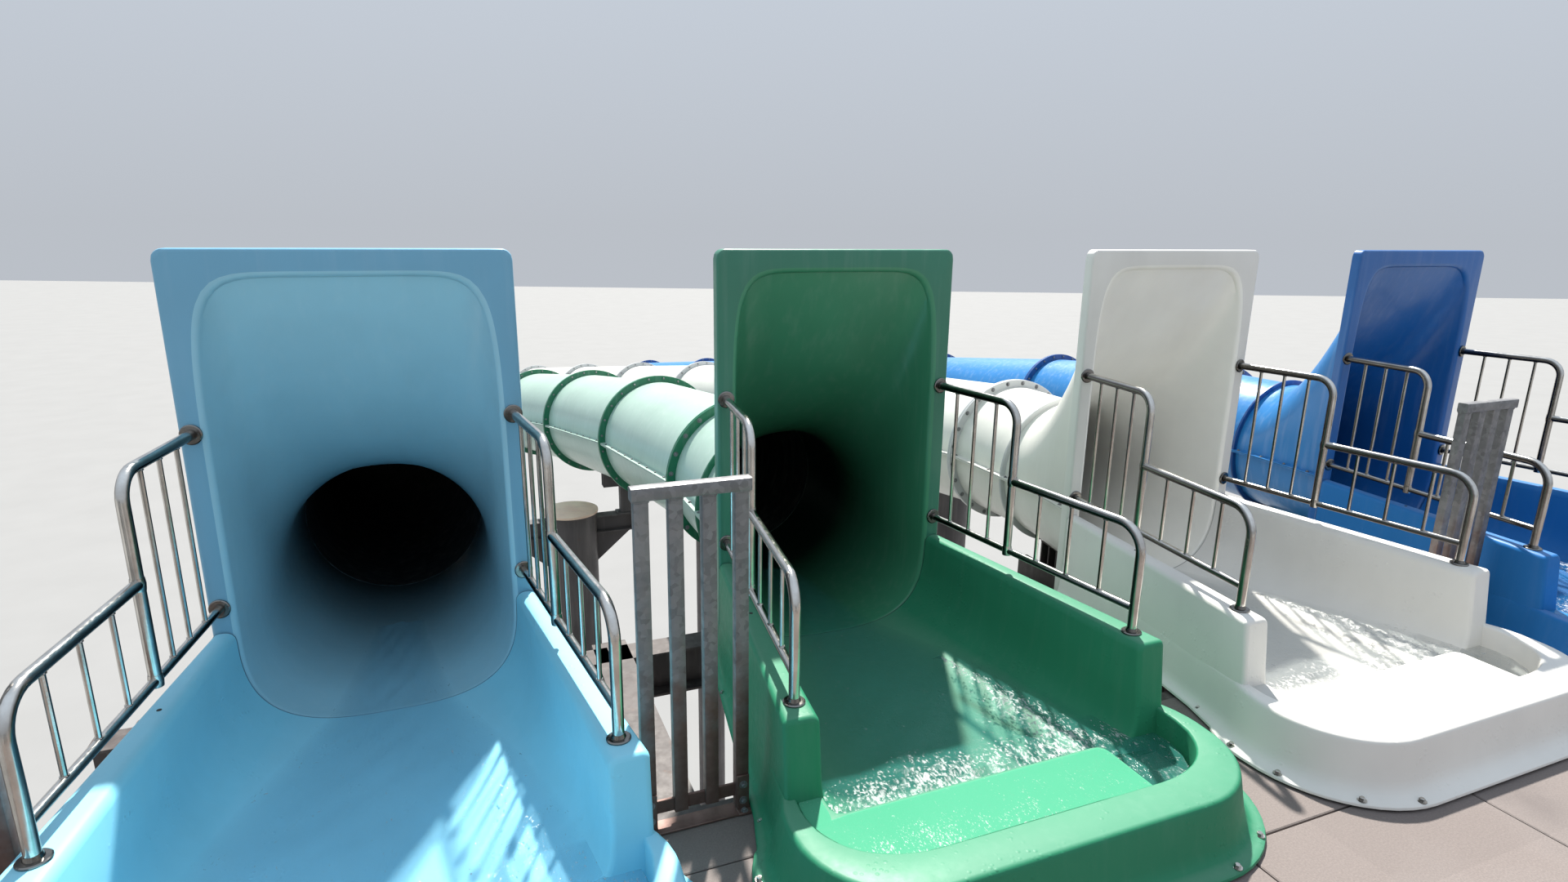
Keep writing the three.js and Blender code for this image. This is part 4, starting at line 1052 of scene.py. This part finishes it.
def pylon(name, first, bay):
    """Round column with a beige cap and steel arms under the same bay of two flumes."""
    p = Piece(f"{name}_steel", grey_paint)
    spots = []
    for i in (first, first + 1):
        joints = flume_joints(START_X[i])
        spots.append((joints[bay][0] + joints[bay + 1][0]) / 2)
    mid = (spots[0] + spots[1]) / 2
    under = mid[2] - BORE_R - SHELL
    top, x, y = under - 0.3, mid[0] + 0.56, mid[1]
    foot = np.array([x, y, 0.04])
    p.turned((x, y, 0), UP, [(0, 0.43), (0.035, 0.43), (0.04, 0.425), (0.041, 0.27)], sides=32)
    p.turned(foot, UP, [(0, 0.254), (top - 0.07, 0.254)], sides=40)
    # Beige cap in the very bright paint: painted light for the sun that the flume's shadow keeps off it.
    p.turned((x, y, top - 0.03), UP, [(0, 0.262), (0.004, 0.275), (0.026, 0.275), (0.03, 0.268), (0.0301, 0.05)],
             cap_paint_sunlit, 40)
    for rib, between_ribs in zip(circle(X, Y, 8, 22.5), circle(X, Y, 8, 45)):
        p.block(foot + rib * 0.31 + UP * 0.075, (rib, np.cross(UP, rib), UP), (0.06, PLATE, 0.075))
        p.bolt(foot + between_ribs * 0.36, 0.02)
    arm = top - 0.09
    a, b = spots[0][0] - 0.06, spots[1][0] + 0.06
    p.along_x(a, b, y, arm - 0.09, i_section(0.14, 0.18, 0.012, 0.008))
    for s, end in ((-1, a), (1, b)):
        root, tip = x + s * 0.25, x + s * 0.25 + s * 0.35
        p.plate([(root, arm - 0.18), (tip, arm - 0.18), (tip, arm - 0.2), (root, arm - 0.5)], y, PLATE)
        # End plates in the same very bright cap paint, painted light.
        p.pad(end, y, PLATE, 0.07, arm - 0.18, arm, 0.001, cap_paint_sunlit)
    sink, turn = math.tan(math.radians(SLOPE[bay])), math.tan(math.radians(HEADING[bay]))
    for cx, _, cz in spots:
        p.post(cx, y, arm - 0.005, under - 0.04, tube_section(0.12, 0.12, 0.012))
        p.pad(cx, y, 0.1, 0.075, arm, arm + 0.014, 0.002)
        for dy in (-0.05, 0.0, 0.05):
            p.plate(cradle(cx - turn * dy, cz - sink * dy, cx, 0.23, under - 0.09), y + dy, PLATE)
        p.pad(cx, y, 0.23, 0.06, under - 0.09, under - 0.076, 0.002)
    p.made([name])


# ---------- stair ----------
def flight(name, z0, lane, s):
    """One flight that rises toward +x (s = 1) or -x (s = -1)."""
    p = Piece(f"{name}_steel", dark_paint)
    x0, riser, run = -STAIR_HALF * s, RISE / STEPS, (STEPS - 1) * GOING
    y0, y1 = lane[0] + 0.035, lane[1] - 0.035

    def nose(d):
        """Height of the line of the steps' noses, d along the flight."""
        return z0 + riser + d * (RISE - riser) / run

    def sloping(y, start, h):
        """Ends of a rail at a height over the noses."""
        return [(x0 + s * d, y, nose(d) + h) for d in (start, run - start)]

    def upright(d, y, low, high, section):
        p.post(x0 + s * d, y, nose(d) + low, nose(d) + high, section)

    for k in range(STEPS - 1):
        a, z = x0 + s * GOING * k, z0 + riser * (k + 1)
        deep = GOING + (0.02 if k < STEPS - 2 else 0)
        p.box(a, a + s * deep, y0, y1, z - SHEET, z, 0.002, tread_paint)
        p.box(a, a + s * SHEET, y0, y1, z - riser, z - SHEET, mat=tread_paint)
        p.box(a, a + s * 0.03, y0 + 0.025, y1 - 0.025, z, z + 0.002, mat=zinc_clean)
    p.box(x0 + s * run, x0 + s * (run - SHEET), y0, y1, z0 + RISE - riser, z0 + RISE - 0.004, mat=tread_paint)
    for y, inward in ((lane[0] + 0.02, 1), (lane[1] - 0.02, -1)):
        # stringer: a channel whose open side faces the steps, cut plumb at the ends
        for off, half, low, high in ((-inward * 0.016, 0.004, -0.25, 0.04), (0, 0.02, -0.25, -0.238),
                                     (0, 0.02, 0.028, 0.04)):
            corners = [(0, max(nose(0) + low, z0)), (run, nose(run) + low), (run, nose(run) + high),
                       (0, max(nose(0) + high, z0))]
            p.plate([(x0 + s * d, z) for d, z in corners], y + off, half)
        p.tube(sloping(y, 0, 1.025), 0.022, 14)
        for h in (0.16, 0.92):
            p.member(*sloping(y, 0.04, h), tube_section(0.02, 0.03, 0.003))
        posts = [0.04 + k * (run - 0.08) / 4 for k in range(5)]
        for d in posts:
            upright(d, y, -0.12, 1.01, tube_section(0.04, 0.04, 0.005))
        for a, b in zip(posts, posts[1:]):
            for k in range(1, 9):
                upright(a + (b - a) * k / 9, y, 0.16, 0.92, PICKET)
    p.made([name])


def stair_frame(name, side, heights):
    """Four posts with the landings of one end of the stair; side is 1 at +x and -1 at -x."""
    p = Piece(f"{name}_steel", dark_paint)
    inner, outer = STAIR_HALF, STAIR_HALF + LANDING_L
    y_out, y_in, top = LANE_OUT[0] - POST, LANE_IN[1] + POST, heights[-1] + 1.08

    def box(a, b, *rest):
        p.box(side * a, side * b, *rest)

    for y in (y_out, y_in - POST):
        for x in (inner, outer - POST):
            c = side * (x + POST / 2)
            p.post(c, y + POST / 2, 0.02, top - SHEET, tube_section(POST, POST, 0.014))
            box(x - 0.004, x + POST + 0.004, y - 0.004, y + POST + 0.004, top - SHEET, top, 0.002)
            box(x - (0 if x == inner else 0.06), x + POST + 0.06, y - 0.06, y + POST + 0.06, 0, 0.02, 0.003)
            for dy in (-0.035, POST + 0.035):
                p.bolt((c, y + dy, 0.02), 0.016)

    for z in heights:
        at_deck = z == D
        back = DECK_BACK if at_deck else y_in
        box(inner + 0.01, outer - 0.01, y_out + 0.01, back - 0.005, z - SHEET, z, 0.001, tread_paint)
        # channels under the landing, along both sides and across
        under = z - 0.053
        edge = channel(0.06, 0.094, 0.007)
        for x, s in ((inner + 0.03, -side), (outer - 0.03, side)):
            p.along_y(side * x, y_out, back, under, [(s * u, w) for u, w in edge])
        left, right = sorted((side * (inner + 0.03), side * (outer - 0.03)))
        for y in (y_out + 0.03, back - 0.03, (y_out + back) / 2, y_out + 0.6, back - 0.6):
            p.along_x(left, right, y, under, channel(0.05, 0.094, 0.006))
        # rails at the outer end and side, and toward the tower or, on the top landing, at the lane that ends below
        for h, w, tall in ((1.03, 0.02, 0.05), (0.55, 0.015, 0.03), (0.1, 0.015, 0.03)):
            level = (z + h, z + h + tall, 0.006)
            box(outer - 0.06 - w, outer - 0.06 + w, y_out, y_in, *level)
            box(inner, outer, y_out + 0.06 - w, y_out + 0.06 + w, *level)
            if at_deck:
                box(inner + 0.01, inner + 0.05, y_out, LANE_OUT[1] + 0.02, *level)
            else:
                box(inner, outer, y_in - 0.06 - w, y_in - 0.06 + w, *level)
        spots = [(outer - 0.06, y) for y in np.arange(y_out + 0.24, y_in - 0.16, 0.12)]
        for x in np.arange(inner + 0.24, outer - 0.16, 0.12):
            spots += [(x, y_out + 0.06)] + ([] if at_deck else [(x, y_in - 0.06)])
        if at_deck:
            spots += [(inner + 0.03, y) for y in np.arange(y_out + 0.24, LANE_OUT[1] - 0.04, 0.12)]
        for x, y in spots:
            p.post(side * x, y, z + 0.11, z + 1.04, PICKET)
        if at_deck:
            box(inner + 0.005, inner + 0.055, LANE_OUT[1] - 0.02, LANE_OUT[1] + 0.03, z - 0.02, z + 1.08, 0.004)
    p.made([name])


# ---------- water ----------
def depth_at(y):
    t = share((0.1 - y) / 1.7)
    return 0.018 + 0.075 * t * t * (3 - 2 * t)


def froth_at(u, y):
    """Share of foam: a band behind the step and a streak up the right side from the pocket."""
    band = share(1 - abs(y + 1.5) / (0.22 + 0.08 * math.sin(4 * u) ** 2)) * (1 if u < 0.62 else 0.6)
    middle = 0.5 - 0.1 * max(0.0, (-y - 0.6))
    wide = 0.02 + 0.26 * share((-y - 0.55) / 0.95)
    streak = share(1 - abs(u * 0.7 - middle) / wide) if y < -0.55 else 0.0
    return min(1.0, 1.25 * max(band, streak))


def splashed(x, y):
    """Foam on the film over the step: more toward the front rim and the left."""
    return max(0.0, min(0.55, (-1.7 - y) / 0.2)) * max(0.1, min(1.0, 0.65 - x))


def water_of(i):
    """Water running through the trough, with the foam at the step, and the wet film on the step."""
    x0 = START_X[i]
    p = Piece(f"water_{NAMES[i]}", water_mat[i])
    marks, rings = [], []  # froth and shore of each point
    calm = 0.35 if i == 0 else 1.0
    for y in np.linspace(0.9, -1.605, 90):
        half, n = trough_half(y)
        floor, high = FLOOR_Z, WALL_TOP - FLOOR_Z
        if y > 0:
            t = min(1, y / HOOD_L)
            half, n, high = hood_half(y), 2 + 1.1 * (1 - t), BORE_R + LOWER * (1 - t) ** 2
            floor = BORE_Z - high
        depth = depth_at(y)
        half = half * (1 - ((high - depth) / high) ** n) ** (1 / n) - 0.001
        ring = []
        for u in np.linspace(-1, 1, 49):
            foam = froth_at(u, y) * calm
            lift = 0.004 * math.sin(9 * y + 5 * u + i) + 0.003 * math.sin(23 * y - 11 * u * (1 + 0.2 * i))
            lift += foam * (0.022 * abs(math.sin(41 * y + 29 * u + 3 * math.sin(17 * u + i))) + 0.01)
            ring.append((x0 + half * u, y, floor + depth + lift * (1 - u ** 8)))
            marks.append((foam, abs(u) ** 3 if y > -1.3 else 0.5 * abs(u) ** 6))
        rings.append(ring)
    p.skin(rings, closed=False, caps=False)

    def sheet(outline, z, foam, mat=None):
        """A flat outline filled from its middle, with extra rings so that ripples and foam vary."""
        outline = np.array(outline)
        mid = outline.mean(0)
        plans = [mid + (outline - mid) * k for k in (1.0, 0.8, 0.5, 0.2)]
        grid = [[(x0 + x, y, z) for x, y in plan] for plan in plans]
        p.skin(grid, mat, caps=False)
        p.add(grid[-1], [list(range(len(outline)))], mat)
        marks.extend((foam(x, y), 0.0) for plan in [*plans, plans[-1]] for x, y in plan)

    pocket = [(0.47, -1.6), (0.6, -1.55), (0.72, -1.5), (0.825, -1.47), (0.842, -1.59), (0.828, -1.675),
              (0.773, -1.772), (0.686, -1.84), (0.57, -1.88), (0.47, -1.89), (0.468, -1.75)]
    sheet(pocket, D + 0.142, lambda x, y: 0.35)
    left = [(-x, y) for x, y in half_inner()]
    film = [*[q for q in left if q[1] < -1.63], (0.2, STEP_Y), (0.455, -1.905), (0.452, -1.65), (0.42, -1.617),
            (0.1, -1.617), (-0.3, -1.617), (-0.7, -1.617)]
    sheet(inset(film, 0.01), SHELF_Z + 0.0025, splashed, film_mat[i])
    strip = [*[q for q in left if q[1] > -1.66], (-0.76, -1.64), (-0.752, -1.6), (-0.75, -1.49)]
    sheet(inset(strip, 0.006), SHELF_Z + 0.002, splashed, film_mat[i])
    obj = p.made([])
    for word, values in zip(("froth", "shore"), zip(*marks)):
        obj.data.attributes.new(word, "FLOAT", "POINT").data.foreach_set("value", values)


# ---------- the whole tower ----------
for i in range(4):
    tub(i)
    head_and_hood(i)
    flume(i)
    rail(i, -1)
    rail(i, 1)
    water_of(i)
fence("fence_panel_1", -2.25, 0.212, 4)
fence("fence_panel_2", 2.25, 0.212, 4)
fence("fence_end_left", -4.612, 0.316, 6)
fence("fence_end_right", 4.612, 0.316, 6)
guard("guard_left", DECK_BACK, DECK_FRONT, -DECK_HALF + 0.03, False)
guard("guard_right", DECK_BACK, DECK_FRONT, DECK_HALF - 0.03, False)
guard("guard_rear_short", -DECK_HALF + 0.06, -STAIR_HALF - LANDING_L, DECK_BACK + 0.03, True)
guard("guard_rear_long", -STAIR_HALF, DECK_HALF - 0.06, DECK_BACK + 0.03, True)
deck()
deck_frame()
row_frame("front_frame", ROW_Y[1])
row_frame("rear_frame", ROW_Y[0])
for k, z in enumerate(LEVELS):
    ties(f"level_ties_{k + 1}", z)
for k, (first, bay) in enumerate(((0, 1), (2, 1), (0, 4), (2, 4))):
    pylon(f"pylon_{k + 1}", first, bay)
for k in range(4):
    flight(f"stair_flight_{k + 1}", k * RISE, LANE_IN if k % 2 else LANE_OUT, -1 if k % 2 else 1)
stair_frame("stair_frame_right", 1, [RISE, 3 * RISE])
stair_frame("stair_frame_left", -1, [2 * RISE, 4 * RISE])


# ---------- floor and light ----------
ground = bpy.data.meshes.new("ground")
ground.from_pydata([(x, y, -0.002) for x, y in ((-300, -300), (300, -300), (300, 300), (-300, 300))], [],
                   [[0, 1, 2, 3]])
n = Nodes("ground_pale")
ground.materials.append(n.done(n.mix(n.noise(0.4, 3), (0.22, 0.22, 0.217), (0.25, 0.25, 0.247)), 0.9))
ground = placed("ground", ground)

world = bpy.data.worlds.new("studio")
world.use_nodes = True
links, nodes = world.node_tree.links, world.node_tree.nodes
split, ramp = nodes.new("ShaderNodeSeparateXYZ"), nodes.new("ShaderNodeValToRGB")
links.new(nodes.new("ShaderNodeTexCoord").outputs["Generated"], split.inputs[0])
links.new(split.outputs[2], ramp.inputs[0])
ramp.color_ramp.elements[0].color = (0.62, 0.66, 0.72, 1)
ramp.color_ramp.elements[1].color = (0.95, 1.1, 1.3, 1)
links.new(ramp.outputs[0], nodes["Background"].inputs[0])
nodes["Background"].inputs[1].default_value = SKY_POWER
bpy.context.scene.world = world
sun = placed("key", bpy.data.lights.new("key", "SUN"))
sun.data.energy = SUN_POWER
sun.data.angle = math.radians(1.5)
sun.data.color = (1.0, 0.96, 0.9)
sun.rotation_mode = "QUATERNION"
sun.rotation_quaternion = Vector(SUN_FROM).normalized().to_track_quat("Z", "Y")
